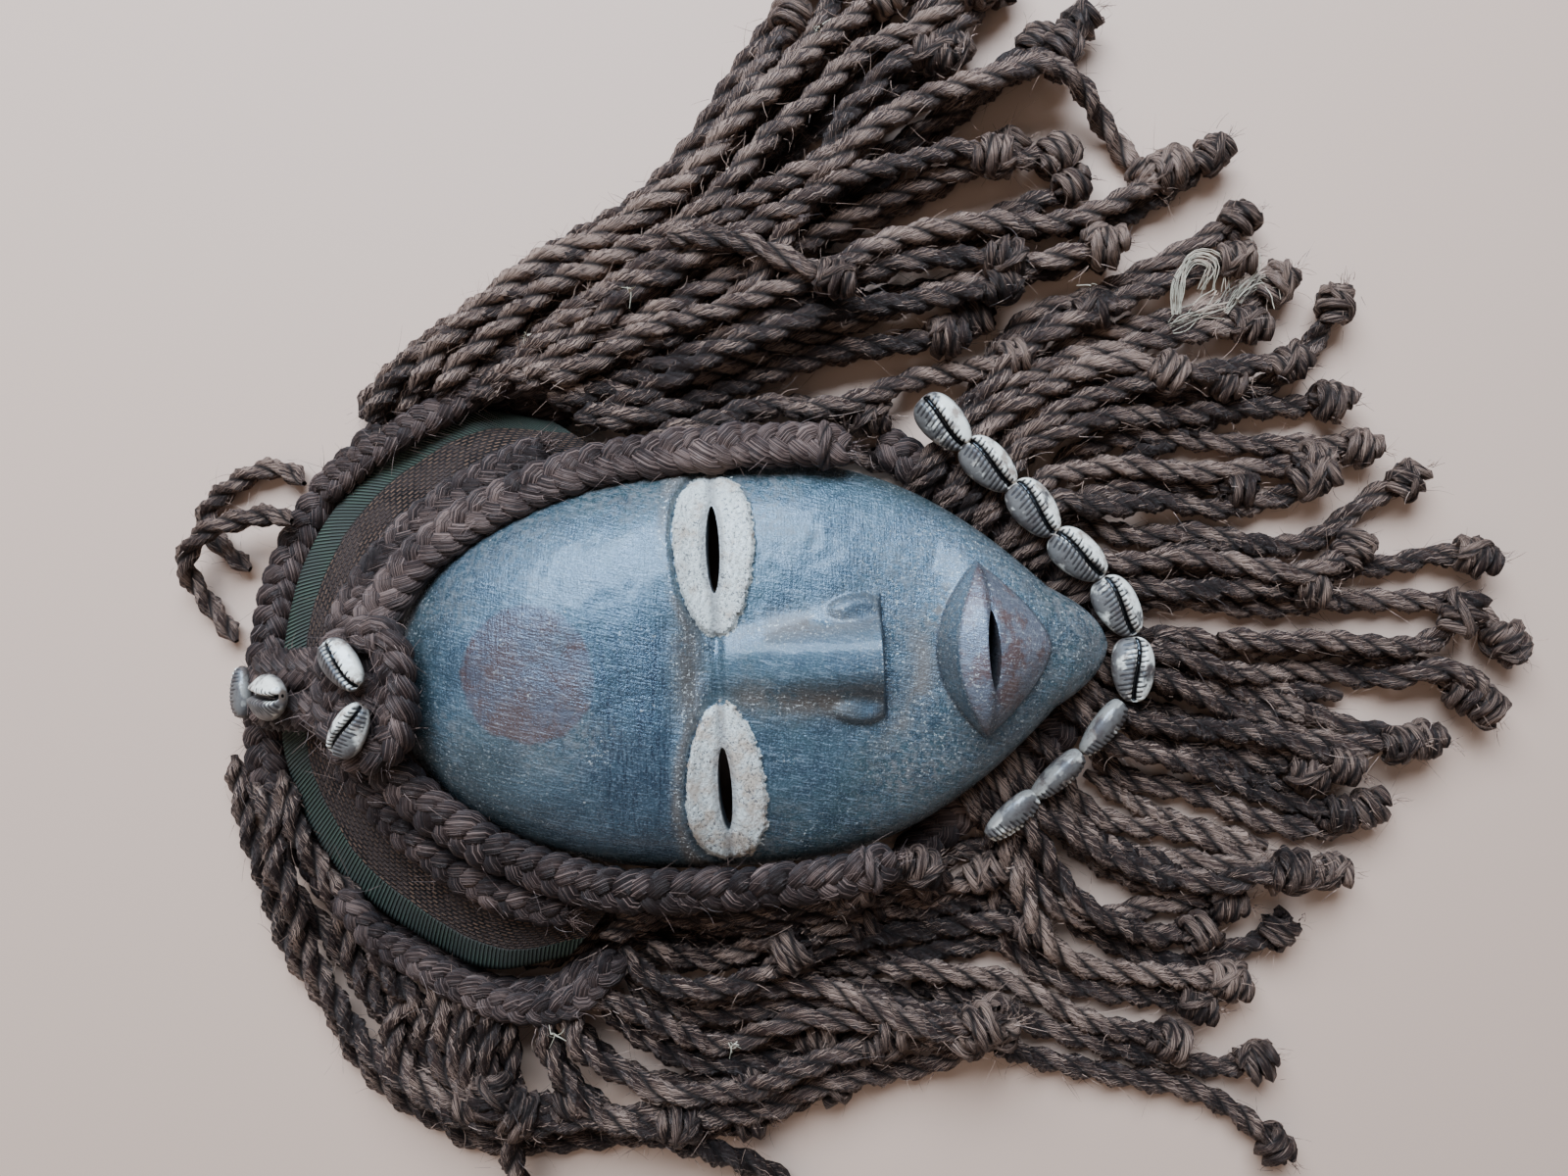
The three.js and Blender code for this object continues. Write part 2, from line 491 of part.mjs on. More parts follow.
addPart('mask_face', faceGeometry(), COLOURS.wood, 0.5);
addPart('cap_band', bandGeometry(), COLOURS.webbing, 0.9);
addPart('brow_braid_left', tube(BROW_BRAID, BROW_BRAID_RADIUS, BRAID_STEP), COLOURS.braid, 0.9);
addPart('brow_braid_right', tube(mirrored(BROW_BRAID), BROW_BRAID_RADIUS, BRAID_STEP), COLOURS.braid, 0.9);
addPart('cap_edge_braid', tube(EDGE_BRAID, EDGE_BRAID_RADIUS, BRAID_STEP), COLOURS.braid, 0.9);
addPart('beard_braid', tube(BEARD_BRAID, BEARD_BRAID_RADIUS, BRAID_STEP), COLOURS.braid, 0.9);
addPart('crown_braid', tube(CROWN_BRAID, 5, 12, 2), COLOURS.braid, 0.9);

const pad = addPart('crown_pad', padGeometry(), COLOURS.braid, 0.9);
pad.position.set(PAD.x, PAD.y, PAD.z);
pad.rotation.y = -PAD.slope;

CROWN_COWRIES.forEach(({ at, turn, lean }, i) => {
  addCowrie(`crown_cowrie_${i + 1}`, CROWN_COWRIE_SCALE, at, at[2], turn, lean);
});
BEARD_COWRIES.forEach(({ at, turn }, i) => {
  addCowrie(`beard_cowrie_${i + 1}`, 1, at, BEARD_COWRIE_HEIGHT, turn, 0);
});

const addAll = (name, geometries, colour) => geometries.forEach(
  (geometry, i) => addPart(`${name}_${i + 1}`, geometry, colour, 0.85),
);
addAll('hair_strand', HAIR_STRANDS.map(strandGeometry), COLOURS.strand);
addAll('beard_strand', BEARD_STRANDS.map(strandGeometry), COLOURS.strand);
addAll('hair_lock', LOCKS.map(lockGeometry), COLOURS.strand);
addAll('tie_loop', TIE_LOOPS.map((route) => tube(route, LOOP_RADIUS, LOOP_STEP)), COLOURS.loop);

export default mask;
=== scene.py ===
"""Looks of a carved wooden face mask with a webbing cap band, fibre strands, plaits and cowrie shells.

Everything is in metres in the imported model's frame: the face looks up (+Z) and the chin points along +X.
Places are drawn from the middle of the face and moved by MIDDLE, as in the part's source.
"""
import math

import bmesh
import bpy
import numpy as np
from mathutils import Matrix, Vector
from mathutils.bvhtree import BVHTree


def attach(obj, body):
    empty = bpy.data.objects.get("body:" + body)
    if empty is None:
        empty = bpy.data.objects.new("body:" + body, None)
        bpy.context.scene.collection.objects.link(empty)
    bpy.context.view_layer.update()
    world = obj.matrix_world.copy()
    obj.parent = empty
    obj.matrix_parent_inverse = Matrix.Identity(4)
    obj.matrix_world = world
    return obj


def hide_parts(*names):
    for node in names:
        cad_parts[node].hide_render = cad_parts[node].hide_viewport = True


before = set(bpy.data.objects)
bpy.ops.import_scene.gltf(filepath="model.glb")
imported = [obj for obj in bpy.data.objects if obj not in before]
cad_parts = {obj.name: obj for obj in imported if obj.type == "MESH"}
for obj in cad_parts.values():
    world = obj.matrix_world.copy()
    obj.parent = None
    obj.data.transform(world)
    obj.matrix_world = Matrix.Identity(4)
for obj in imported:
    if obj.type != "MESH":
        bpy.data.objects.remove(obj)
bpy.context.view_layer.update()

MIDDLE = np.array((-0.0215, -0.0075, 0.0))
CHANCE = np.random.default_rng(7)

# Camera, from the photograph: it looks straight down at the mask from this height
CAMERA_PLACE = (0.0358, 0.0321, 0.420)
CAMERA_ROLL = math.radians(-3)
CAMERA_LENS = 27.0
CAMERA_SENSOR = 36.0

# Driving dimensions of the carved face, as in the part's source
FACE_TOP = -0.119
FACE_CHIN = 0.122
FACE_WIDEST = -0.005
HALF_WIDTH = 0.068
RIM_INSET = 0.003
CONTOUR_HEIGHT = 0.022
WALL = 0.008
HOLLOW_SHOULDER = 0.006
SIDE_ROUNDNESS = 2.4
CHIN_TAPER = 1.33
FOREHEAD_TAPER = 2.3
MIDLINE = [
    (FACE_TOP, 0.026), (-0.114, 0.036), (-0.104, 0.046), (-0.086, 0.056), (-0.060, 0.062), (-0.038, 0.063),
    (-0.024, 0.0615), (-0.0185, 0.0595), (-0.0145, 0.056), (0.0, 0.053), (0.025, 0.050), (0.048, 0.046),
    (0.062, 0.045), (0.080, 0.046), (0.100, 0.042), (0.112, 0.036), (0.119, 0.029), (FACE_CHIN, 0.025),
]
EYE = {"x": -0.007, "y": 0.0365, "half_x": 0.0125, "half_y": 0.0268, "raised": 0.0026}
SLIT = {"x": -0.0075, "y": 0.038, "half_x": 0.0022, "half_y": 0.0140, "sharp": 0.15}
NOSE = {"y": 0.001, "start": -0.016, "end": 0.0437, "root": 0.0085, "tip": 0.0136, "height": 0.0128}
NOSTRIL = {"x": 0.0385, "y": 0.0155, "half_x": 0.0068, "half_y": 0.0052, "height": 0.0048}
MOUTH = {"x": 0.0765, "y": 0.0016, "half_y": 0.0284, "left": 0.0148, "right": 0.0224, "raised": 0.0185}
MOUTH_SLIT = {"x": 0.0772, "y": 0.0022, "half_x": 0.0019, "half_y": 0.0124, "sharp": 0.4}
PATCH = {"x": -0.066, "y": 0.002, "radius": 0.0215}

# Driving dimensions of the rest
BAND_THICKNESS = 0.0022
BAND_INNER_HEIGHT = 0.029
BAND_OUTER_HEIGHT = 0.015
BAND_BULGE = 0.003
STRAND_RADIUS = 0.0047
LOOP_RADIUS = 0.0042
STRAND_LAY = 0.024
KNOT_RADIUS = 0.0085
ROOT_HEIGHT = 0.007
LYING_HEIGHT = 0.005
KNOT_HEIGHT = 0.008
EDGE_BRAID_HEIGHT = 0.0070
BEARD_BRAID_HEIGHT = 0.0075
STRAND_STEP = 0.0020
PLAIT_STEP = 0.0012
# Half the width, the thickness and the pitch of each plait
BROW_SIZE = (0.0073, 0.0062, 0.0190)
SECOND_SIZE = (0.0058, 0.0048, 0.0170)
EDGE_SIZE = (0.0072, 0.0066, 0.0210)
BEARD_SIZE = (0.0072, 0.0062, 0.0200)
ROOT_SIZE = (0.0054, 0.0046, 0.0160)
CROWN_SIZE = (0.0072, 0.0068, 0.0190)
PAD_RING_SIZE = (0.0062, 0.0065, 0.0190)
PAD_MIDDLE_SIZE = (0.0065, 0.0060, 0.0180)
COWRIE = {"length": 0.0222, "width": 0.0146, "height": 0.0098}


# Arrays and paths

def unit(vectors):
    """The same directions, one metre long."""
    return vectors / np.maximum(np.linalg.norm(vectors, axis=-1, keepdims=True), 1e-12)


def smoothstep(x, low, high):
    """0 below low and 1 above high, with a smooth step between them. High may be the lower one."""
    t = np.clip((x - low) / (high - low), 0.0, 1.0)
    return t * t * (3 - 2 * t)


def bell(x, middle, width):
    """1 at the middle, and falling off to nothing about two widths away."""
    return np.exp(-((x - middle) / width) ** 2)


def run_along(line):
    """How far each point lies along its line."""
    return np.concatenate(([0.0], np.cumsum(np.linalg.norm(np.diff(line, axis=0), axis=1))))


def resampled(line, step):
    """Points at even steps along a line of close points."""
    along = run_along(line)
    count = max(3, int(round(along[-1] / step)) + 1)
    wanted = np.linspace(0, along[-1], count)
    return np.column_stack([np.interp(wanted, along, line[:, k]) for k in range(line.shape[1])])


def curve_through(points, step):
    """Even steps along a smooth curve through the given points."""
    p = np.asarray(points, float)
    padded = np.vstack((2 * p[0] - p[1], p, 2 * p[-1] - p[-2]))
    t = np.linspace(0, 1, 20, endpoint=False)[:, None]
    pieces = []
    for a, b, c, d in zip(padded, padded[1:], padded[2:], padded[3:]):
        pieces.append(b + 0.5 * t * (c - a + t * (2 * a - 5 * b + 4 * c - d + t * (3 * b - a - 3 * c + d))))
    return resampled(np.vstack(pieces + [p[-1:]]), step)


def frames_along(line, up=(0.0, 0.0, 1.0)):
    """Tangent, side and up direction at each point of a line."""
    tangent = unit(np.gradient(line, axis=0))
    side = unit(np.cross(np.broadcast_to(up, line.shape), tangent))
    return tangent, side, np.cross(tangent, side)


def softened(values, passes):
    """Values smoothed along a line, with its ends kept."""
    out = np.array(values, float)
    for _ in range(passes):
        out[1:-1] = 0.25 * out[:-2] + 0.5 * out[1:-1] + 0.25 * out[2:]
    return out


def wander(count, step, wave, reach):
    """A slow random wobble along a line, zero at its start."""
    knots = max(3, int(count * step / wave) + 2)
    values = CHANCE.normal(0, 1, knots)
    values[0] = 0
    places = np.linspace(0, knots - 1, count)
    return reach * softened(np.interp(places, np.arange(knots), values), 12)


# Meshes

def grid_part(points, along, across, wrap=False, **values):
    """A sheet or tube of quads through rows of points, with its map (along, across) and values per point."""
    rows, cols = points.shape[:2]
    spans = cols if wrap else cols - 1
    r, c = np.meshgrid(np.arange(rows - 1), np.arange(spans), indexing="ij")
    r, c = r.ravel(), c.ravel()
    corners = [(r, c), (r, c + 1), (r + 1, c + 1), (r + 1, c)]
    faces = np.column_stack([i * cols + j % cols for i, j in corners])
    maps = np.stack([np.column_stack((along[i, j % along.shape[1]], across[i, j])) for i, j in corners], 1)
    return {
        "points": points.reshape(-1, 3), "faces": faces, "maps": maps,
        "values": {k: np.broadcast_to(v, (rows, cols)).ravel() for k, v in values.items()},
    }


def linked(name, data):
    """A new object in the scene, with this mesh, light or camera."""
    made = bpy.data.objects.new(name, data)
    bpy.context.scene.collection.objects.link(made)
    return made


def add_piece(name, parts, paint, stands_for=()):
    """One object from several parts, riding on the model and standing for its CAD nodes."""
    starts = np.cumsum([0] + [len(part["points"]) for part in parts])
    points = np.vstack([part["points"] for part in parts]) - MIDDLE
    faces = np.vstack([part["faces"] + start for part, start in zip(parts, starts)])
    maps = np.vstack([part["maps"] for part in parts])
    mesh = bpy.data.meshes.new(name)
    mesh.from_pydata(points.tolist(), [], faces.tolist())
    mesh.uv_layers.new(name="weave").data.foreach_set("uv", maps.ravel().astype(np.float32))
    for key in parts[0]["values"]:
        add_values(mesh, key, np.concatenate([part["values"][key] for part in parts]))
    mesh.materials.append(paint)
    return add_object(name, mesh, stands_for)


def add_values(mesh, name, values):
    """A number for each point, which its paint reads by name."""
    mesh.attributes.new(name, "FLOAT", "POINT").data.foreach_set("value", values.astype(np.float32))


def add_object(name, mesh, stands_for):
    """A smooth mesh as a piece that rides on the model and stands for its CAD nodes."""
    mesh.polygons.foreach_set("use_smooth", [True] * len(mesh.polygons))
    piece = linked(name, mesh)
    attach(piece, "root")
    if stands_for:
        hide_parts(*stands_for)
    return piece


# Materials

def srgb(red, green, blue):
    """A colour of 0 to 255 per channel, as the shader wants it."""
    linear = [((c / 255 + 0.055) / 1.055) ** 2.4 if c > 10 else c / 255 / 12.92 for c in (red, green, blue)]
    return (*linear, 1.0)


class Paint:
    """A material in the making. Each method adds a node and gives back its output."""

    def __init__(self, name, settings):
        self.material = bpy.data.materials.new(name)
        self.material.use_nodes = True
        self.tree = self.material.node_tree
        self.shader = self.tree.nodes["Principled BSDF"]
        for key, value in settings.items():
            self.shader.inputs[key].default_value = value

    def put(self, socket, value):
        if isinstance(value, bpy.types.NodeSocket):
            self.tree.links.new(value, socket)
        else:
            socket.default_value = value

    def node(self, kind, inputs=(), **settings):
        made = self.tree.nodes.new(kind)
        for key, value in settings.items():
            setattr(made, key, value)
        for key, value in dict(inputs).items():
            self.put(made.inputs[key], value)
        return made

    def places(self):
        return self.node("ShaderNodeTexCoord").outputs["Object"]

    def weave(self):
        return self.node("ShaderNodeUVMap", uv_map="weave").outputs["UV"]

    def value(self, name):
        return self.node("ShaderNodeAttribute", attribute_name=name).outputs["Fac"]

    def stretched(self, vector, scale, turn=0.0):
        """The vector turned about Z and multiplied: more along an axis means finer detail along it."""
        inputs = {"Vector": vector, "Angle": turn}
        turned = self.node("ShaderNodeVectorRotate", inputs, rotation_type="Z_AXIS").outputs[0]
        return self.node("ShaderNodeVectorMath", {0: turned, 1: scale}, operation="MULTIPLY").outputs[0]

    def noise(self, vector, scale, detail, roughness=0.5):
        inputs = {"Vector": vector, "Scale": scale, "Detail": detail, "Roughness": roughness}
        return self.node("ShaderNodeTexNoise", inputs).outputs["Fac"]

    def ramp(self, factor, low, high):
        """0 below low and 1 above high, with a smooth step between them. High may be the lower one."""
        inputs = {"Value": factor, "From Min": low, "From Max": high}
        return self.node("ShaderNodeMapRange", inputs, interpolation_type="SMOOTHSTEP").outputs[0]

    def calc(self, operation, first, second=0.0):
        return self.node("ShaderNodeMath", {0: first, 1: second}, operation=operation).outputs[0]

    def plus(self, first, second):
        return self.calc("ADD", first, second)

    def times(self, first, second):
        return self.calc("MULTIPLY", first, second)

    def most(self, first, *others):
        """The largest of several values."""
        for other in others:
            first = self.calc("MAXIMUM", first, other)
        return first

    def about_zero(self, value, reach):
        """A noise of 0 to 1 as a value that sways about zero."""
        return self.times(self.calc("SUBTRACT", value, 0.5), reach)

    def mix(self, factor, first, second):
        inputs = {"Factor": factor, 6: first, 7: second}
        return self.node("ShaderNodeMix", inputs, data_type="RGBA").outputs[2]

    def over(self, colour, tone, where, strength):
        """A colour with a tone over it, as strong as this where a value says so."""
        return self.mix(self.times(where, strength), colour, tone)

    def bump(self, height, distance, strength=1.0, normal=None):
        made = self.node("ShaderNodeBump", {"Height": height, "Distance": distance, "Strength": strength})
        if normal is not None:
            self.put(made.inputs["Normal"], normal)
        return made.outputs[0]

    def finish(self, colour, normal=None, roughness=None):
        self.put(self.shader.inputs["Base Color"], colour)
        if normal is not None:
            self.put(self.shader.inputs["Normal"], normal)
        if roughness is not None:
            self.put(self.shader.inputs["Roughness"], roughness)
        return self.material


# The carved face: heights over the floor at a place, and fields that say what is carved or painted there

def hermite(x, nodes):
    """A smooth curve through (place, value) pairs."""
    at, values = np.array(nodes).T
    slopes = np.gradient(values, at)
    i = np.clip(np.searchsorted(at, x) - 1, 0, len(at) - 2)
    span = at[i + 1] - at[i]
    t = np.clip((x - at[i]) / span, 0, 1)
    blend = t * t * (3 - 2 * t)
    bend = slopes[i] * (t * (1 - t) ** 2) + slopes[i + 1] * (t * t * (t - 1))
    return values[i] + (values[i + 1] - values[i]) * blend + span * bend


def ripple(x, y, size, seed):
    """A gentle uneven field of about -1 to 1, with lumps of that size."""
    chance = np.random.default_rng(seed)
    total = np.zeros(np.broadcast(x, y).shape)
    for _ in range(9):
        turn, phase = chance.uniform(0, 2 * math.pi, 2)
        wave = 2 * math.pi / (size * chance.uniform(0.7, 1.6))
        total = total + np.sin((x * math.cos(turn) + y * math.sin(turn)) * wave + phase)
    return total / 3


def half_width(x):
    """Half the width of the face outline at a station."""
    CHIN_ROUNDING = 0.011
    t = np.clip((FACE_WIDEST - x) / (FACE_WIDEST - FACE_TOP), 0, 1)
    forehead = HALF_WIDTH * np.sqrt(np.clip(1 - t ** FOREHEAD_TAPER, 1e-5, 1))
    t = np.clip((x - FACE_WIDEST) / (FACE_CHIN - FACE_WIDEST), 0, 1)
    chin = HALF_WIDTH * np.cos(math.pi / 2 * t ** CHIN_TAPER)
    chin = np.maximum(chin, np.sqrt(2 * CHIN_ROUNDING * np.clip(FACE_CHIN - x, 1e-5, 1)))
    return np.where(x < FACE_WIDEST, forehead, chin)


def ring_field(x, y):
    """1 in the middle of a painted eye ring, 0 on its edge and less outside. Its outer end is wider."""
    ROUNDNESS = 2.2
    outward = (np.abs(y) - EYE["y"]) / EYE["half_y"]
    width = EYE["half_x"] * (1 + 0.20 * outward)
    ragged = 0.020 * ripple(x, y, 0.0065, 11) + 0.024 * ripple(x, y, 0.0018, 12)
    ragged = ragged * smoothstep(x, -0.014, -0.004)
    away = np.abs((x - EYE["x"]) / width) ** ROUNDNESS + np.abs(outward) ** ROUNDNESS
    return 1 - away ** (1 / ROUNDNESS) + ragged


def lens_field(x, y, lens):
    """1 in the middle of a slit, 0 on its edge and less outside. Its ends are pointed where sharp is 1."""
    along = (np.abs(y) - lens["y"] if lens is SLIT else y - lens["y"]) / lens["half_y"]
    width = np.clip(1 - along ** 2, 0, 1) ** ((1 + lens["sharp"]) / 2)
    return width - np.abs(x - lens["x"]) / lens["half_x"]


def mouth_place(x, y):
    """Where a place lies on the lips: across from the seam (0) to the edge (1), and along to a corner (1)."""
    along = np.clip(np.abs(y - MOUTH["y"]) / MOUTH["half_y"], 0, 1)
    left = MOUTH["left"] * (1 - along ** 2)
    right = MOUTH["right"] * (1 - along ** 1.5)
    reach = np.maximum(np.where(x < MOUTH["x"], left, right), 1e-6)
    return np.abs(x - MOUTH["x"]) / reach, along


def mouth_height(x, y):
    """How high the lips stand over the face: nearly flat inside the front edge and steep outside it."""
    FRONT_EDGE, SEAM_DEPTH = 0.66, 0.0011
    across, along = mouth_place(x, y)
    wall = 0.92 * (1 - smoothstep(across, FRONT_EDGE, 1.02))
    upper = np.where(across < FRONT_EDGE, 1 - 0.08 * (across / FRONT_EDGE) ** 2, wall)
    lower = (1 - 0.84 * np.clip(across, 0, 1) ** 1.25) * (1 - smoothstep(across, 0.965, 1.0))
    full = np.where(x < MOUTH["x"], upper, lower) * np.clip(1 - along ** 2, 0, 1) ** 0.42
    seam = bell(x, MOUTH_SLIT["x"], 0.0013) * (1 - smoothstep(along, 0.9, 1.0))
    return MOUTH["raised"] * full - SEAM_DEPTH * seam * (across < 1)


def nose_height(x, y):
    """How high the nose stands over the face: a ridge that widens to its tip, and a wing on each side."""
    BLEND, GROOVE_DEPTH = 1100, 0.0013
    t = np.clip((x - NOSE["start"]) / (NOSE["end"] - NOSE["start"]), 0, 1)
    across = np.abs(y - NOSE["y"]) / (NOSE["root"] + (NOSE["tip"] - NOSE["root"]) * t)
    ridge = NOSE["height"] * (0.12 + 0.88 * t ** 1.15) * smoothstep(t, 0, 0.2)
    body = ridge * np.exp(-(across / 0.92) ** 2.8)
    dx = (x - NOSTRIL["x"]) / NOSTRIL["half_x"]
    dy = (np.abs(y - NOSE["y"]) - NOSTRIL["y"]) / NOSTRIL["half_y"]
    wing = NOSTRIL["height"] * np.clip(1 - np.where(dx < 0, dx * 0.6, dx) ** 2 - dy ** 2, 0, 1) ** 0.62
    groove = GROOVE_DEPTH * np.exp(-(dx / 0.62) ** 2 - ((dy + 0.1) / 0.5) ** 2)
    joined = np.log(np.exp(body * BLEND) + np.exp(wing * BLEND) - 1) / BLEND
    return (joined - groove) * (1 - smoothstep(x, NOSE["end"], NOSE["end"] + 0.0014))


def face_height(x, y):
    """Height of the carved face over the floor."""
    across = np.clip(np.abs(y) / half_width(x), 0, 1)
    dome = (hermite(x, MIDLINE) - CONTOUR_HEIGHT) * np.sqrt(np.clip(1 - across ** SIDE_ROUNDNESS, 0, 1))
    ring = ring_field(x, y)
    inner = smoothstep(across, 1.0, 0.9)
    brow_side = smoothstep(x, -0.009, -0.014)
    brow = 0.0013 * smoothstep(ring, -0.6, -0.07) * (1 - smoothstep(ring, -0.05, 0.0)) * brow_side
    crevice = 0.0011 * bell(ring, -0.035, 0.04) * brow_side
    plaster = (EYE["raised"] + 0.00022 * ripple(x, y, 0.0016, 3)) * smoothstep(ring, 0.0, 0.10)
    lid = 0.0014 * smoothstep(lens_field(x, y, SLIT), -1.3, 0.1)
    uneven = 0.00016 * ripple(x, y, 0.022, 5) + 0.00005 * ripple(x, y, 0.006, 8)
    carved = np.maximum(nose_height(x, y), plaster) - lid + brow - crevice + uneven
    return CONTOUR_HEIGHT + dome + inner * carved + mouth_height(x, y)


def closed_mesh(name, rings):
    """A closed mesh through rings of points, with its first and last ring filled."""
    rows, cols = rings.shape[:2]
    part = grid_part(rings, np.zeros((rows, cols)), np.zeros((rows, cols + 1)), wrap=True)
    ends = [list(range(cols))[::-1], list(range((rows - 1) * cols, rows * cols))]
    mesh = bpy.data.meshes.new(name)
    mesh.from_pydata(part["points"].tolist(), [], part["faces"].tolist() + ends)
    return mesh


def spaced(*stretches):
    """Stations at a given step on each stretch: (from, to, step)."""
    found = []
    for start, end, step in stretches:
        found.append(np.linspace(start, end, max(2, int(round((end - start) / step))), endpoint=False))
    return np.append(np.concatenate(found), stretches[-1][1])


def face_solid():
    """The face without its hollow, with closer stations where it's carved finely."""
    END = 1e-4
    stations = spaced((FACE_TOP + END, -0.112, 0.0006), (-0.112, -0.026, 0.00098), (-0.026, 0.010, 0.00058),
                      (0.010, 0.036, 0.0008), (0.036, 0.048, 0.0005), (0.048, 0.060, 0.0009),
                      (0.060, 0.101, 0.00058), (0.101, FACE_CHIN - END, 0.0007))
    s = np.linspace(-1, 1, 213)
    across = 0.6 * s + 0.4 * np.sin(math.pi / 2 * s)
    x = stations[:, None]
    width = half_width(x)
    y = across[None, :] * width
    top = np.dstack((np.broadcast_to(x, y.shape), y, face_height(x, y)))
    side = np.linspace(0, 1, 8)[:-1]
    inset = np.minimum(RIM_INSET, width * 0.3) * (1 - side[None, :]) ** 1.6
    wall = np.dstack((np.broadcast_to(x, inset.shape), width - inset,
                      np.broadcast_to(side * CONTOUR_HEIGHT, inset.shape)))
    left = wall * (1, -1, 1)
    return closed_mesh("face_solid", np.concatenate((left, top, wall[:, ::-1]), axis=1))


def hollow_solid():
    """The hollow behind the face, a wall's thickness under it."""
    BELOW_FLOOR = 0.002
    stations = np.linspace(FACE_TOP + WALL + 0.002, FACE_CHIN - 2.5 * WALL, 70)
    x = stations[:, None]
    width = half_width(x) - WALL - 0.001
    s = np.linspace(-1, 1, 41)[None, :]
    shoulder = CONTOUR_HEIGHT - HOLLOW_SHOULDER
    rise = np.sqrt(np.clip(1 - np.abs(s) ** SIDE_ROUNDNESS, 0, 1))
    z = shoulder + (hermite(x, MIDLINE) - WALL - shoulder) * rise
    z = z + 0.0005 * ripple(x, s * width, 0.012, 21)
    top = np.dstack((np.broadcast_to(x, z.shape), s * width, z))
    foot = np.stack((np.ones_like(width) * x, width, np.full_like(x, -BELOW_FLOOR)), axis=-1)
    return closed_mesh("hollow_solid", np.concatenate((foot * (1, -1, 1), top, foot), axis=1))


def slit_solid(name, lens, side):
    """A prism of a slit's outline that is a little wider at the top, for cutting the slit."""
    SIDES = 48
    turn = np.linspace(0, 2 * math.pi, SIDES, endpoint=False)
    along = np.cos(turn)
    across = np.sin(turn) * np.abs(np.sin(turn)) ** lens["sharp"]
    rings = []
    for z, widen in ((0.028, 0.85), (0.050, 1.0), (0.078, 1.06)):
        rings.append(np.column_stack((lens["x"] + widen * lens["half_x"] * across,
                                      side * lens["y"] + lens["half_y"] * along, np.full(SIDES, z))))
    return closed_mesh(name, np.array(rings))


def cut(body, tools):
    """The mesh of a body with the tools' solids taken away."""
    made = linked("body_to_cut", body)
    cutters = [linked(tool.name, tool) for tool in tools]
    for cutter in cutters:
        taking = made.modifiers.new(cutter.name, "BOOLEAN")
        taking.operation = "DIFFERENCE"
        taking.solver = "MANIFOLD"
        taking.object = cutter
    result = bpy.data.meshes.new_from_object(made.evaluated_get(bpy.context.evaluated_depsgraph_get()))
    for used in [made] + cutters:
        bpy.data.objects.remove(used)
    return result


def outward(mesh):
    """The mesh with all its faces facing out."""
    work = bmesh.new()
    work.from_mesh(mesh)
    bmesh.ops.recalc_face_normals(work, faces=work.faces)
    work.to_mesh(mesh)
    work.free()
    return mesh


def face_values(x, y, z):
    """The painted and dirty places of the face, and where light and shade are painted, at each of its points.
    """
    across, along = mouth_place(x, y)
    inside = (np.abs(y) < half_width(x) - 0.006) & (face_height(x, y) - z > 0.003)
    ring = ring_field(x, y)
    off_middle = np.abs(y - NOSE["y"])
    nose_edge = np.interp(x, (-0.010, 0.015, 0.044), (0.0085, 0.0118, 0.0150))
    nose_side = bell(off_middle, nose_edge, 0.0048)
    nose_side = nose_side * smoothstep(x, -0.008, 0.004) * smoothstep(x, 0.050, 0.040)
    nostril = bell(x, NOSTRIL["x"], 0.0052) * bell(off_middle, NOSTRIL["y"], 0.0042)
    # Painted shadow under the nose tip's edge
    under_nose = bell(x, NOSE["end"] + 0.0012, 0.0011) * (off_middle < 0.020)
    # A painted highlight along the edge of the nose tip, drawn as chalk specks there
    tip = bell(x, NOSE["end"] - 0.0003, 0.0007) * smoothstep(off_middle, 0.017, 0.012)
    brow = bell(x, -0.0165, 0.0046) * smoothstep(np.abs(y), 0.026, 0.008)
    brow = np.maximum(brow, bell(ring, -0.20, 0.13) * smoothstep(x, -0.011, -0.015))
    lip_foot = bell(x, 0.0575 - 1.1 * y * y / 0.06, 0.0038) * smoothstep(np.abs(y + 0.006), 0.030, 0.008)
    lips = smoothstep(across, 1.03, 0.97) * (along < 0.995)
    lips_edge = bell(across, 1.0, 0.045) * (along < 0.98)
    seam = bell(x, MOUTH_SLIT["x"], 0.0016) * lips
    edge = smoothstep(np.abs(y) / half_width(x), 0.86, 1.0)
    edge = np.maximum(edge, smoothstep(x, -0.086, -0.108))
    # The lower-left forehead, turned from the light, is darkened here as painted shade
    edge = np.maximum(edge, 0.75 * smoothstep(x, -0.045, -0.085) * smoothstep(y, 0.000, -0.028))
    patch = 1 - np.hypot(x - PATCH["x"], y - PATCH["y"]) / PATCH["radius"]
    hatch = smoothstep(x, -0.056, -0.038) * smoothstep(x, -0.020, -0.026)
    return {
        "ring": np.where(inside, -1.0, ring),
        "patch": np.where(inside, -1.0, patch),
        "lips": lips,
        "lip_wall": lips * (x < MOUTH["x"]) * smoothstep(across, 0.62, 0.7),
        # Painted shade in the crease round the lips and in the seam by the slit
        "lip_edge": np.maximum(lips_edge, seam),
        "worn": smoothstep(x, 0.022, 0.052) * smoothstep(np.abs(y), 0.060, 0.030),
        "dust": np.maximum(np.maximum(nose_side, lip_foot), 0.8 * brow) * (1 - nostril),
        "lid": smoothstep(lens_field(x, y, SLIT), -1.1, -0.3) * (ring > 0),
        "lower": smoothstep(y, 0.005, -0.005),
        # Chalk specks along the brow and the nose's sides, and the painted highlight along the nose tip's
        # edge
        "chalk_and_highlight": np.maximum(np.maximum(brow, 0.7 * nose_side * (1 - nostril)), tip),
        # Painted shadow under the nose tip, and painted shade in the nostrils
        "dark": np.maximum(under_nose, 0.45 * nostril),
        "edge": edge,
        "inside": inside.astype(float),
        "hatch": hatch * smoothstep(np.abs(y + 0.016), 0.050, 0.016),
        "nose": smoothstep(nose_height(x, y), 0.001, 0.004),
    }


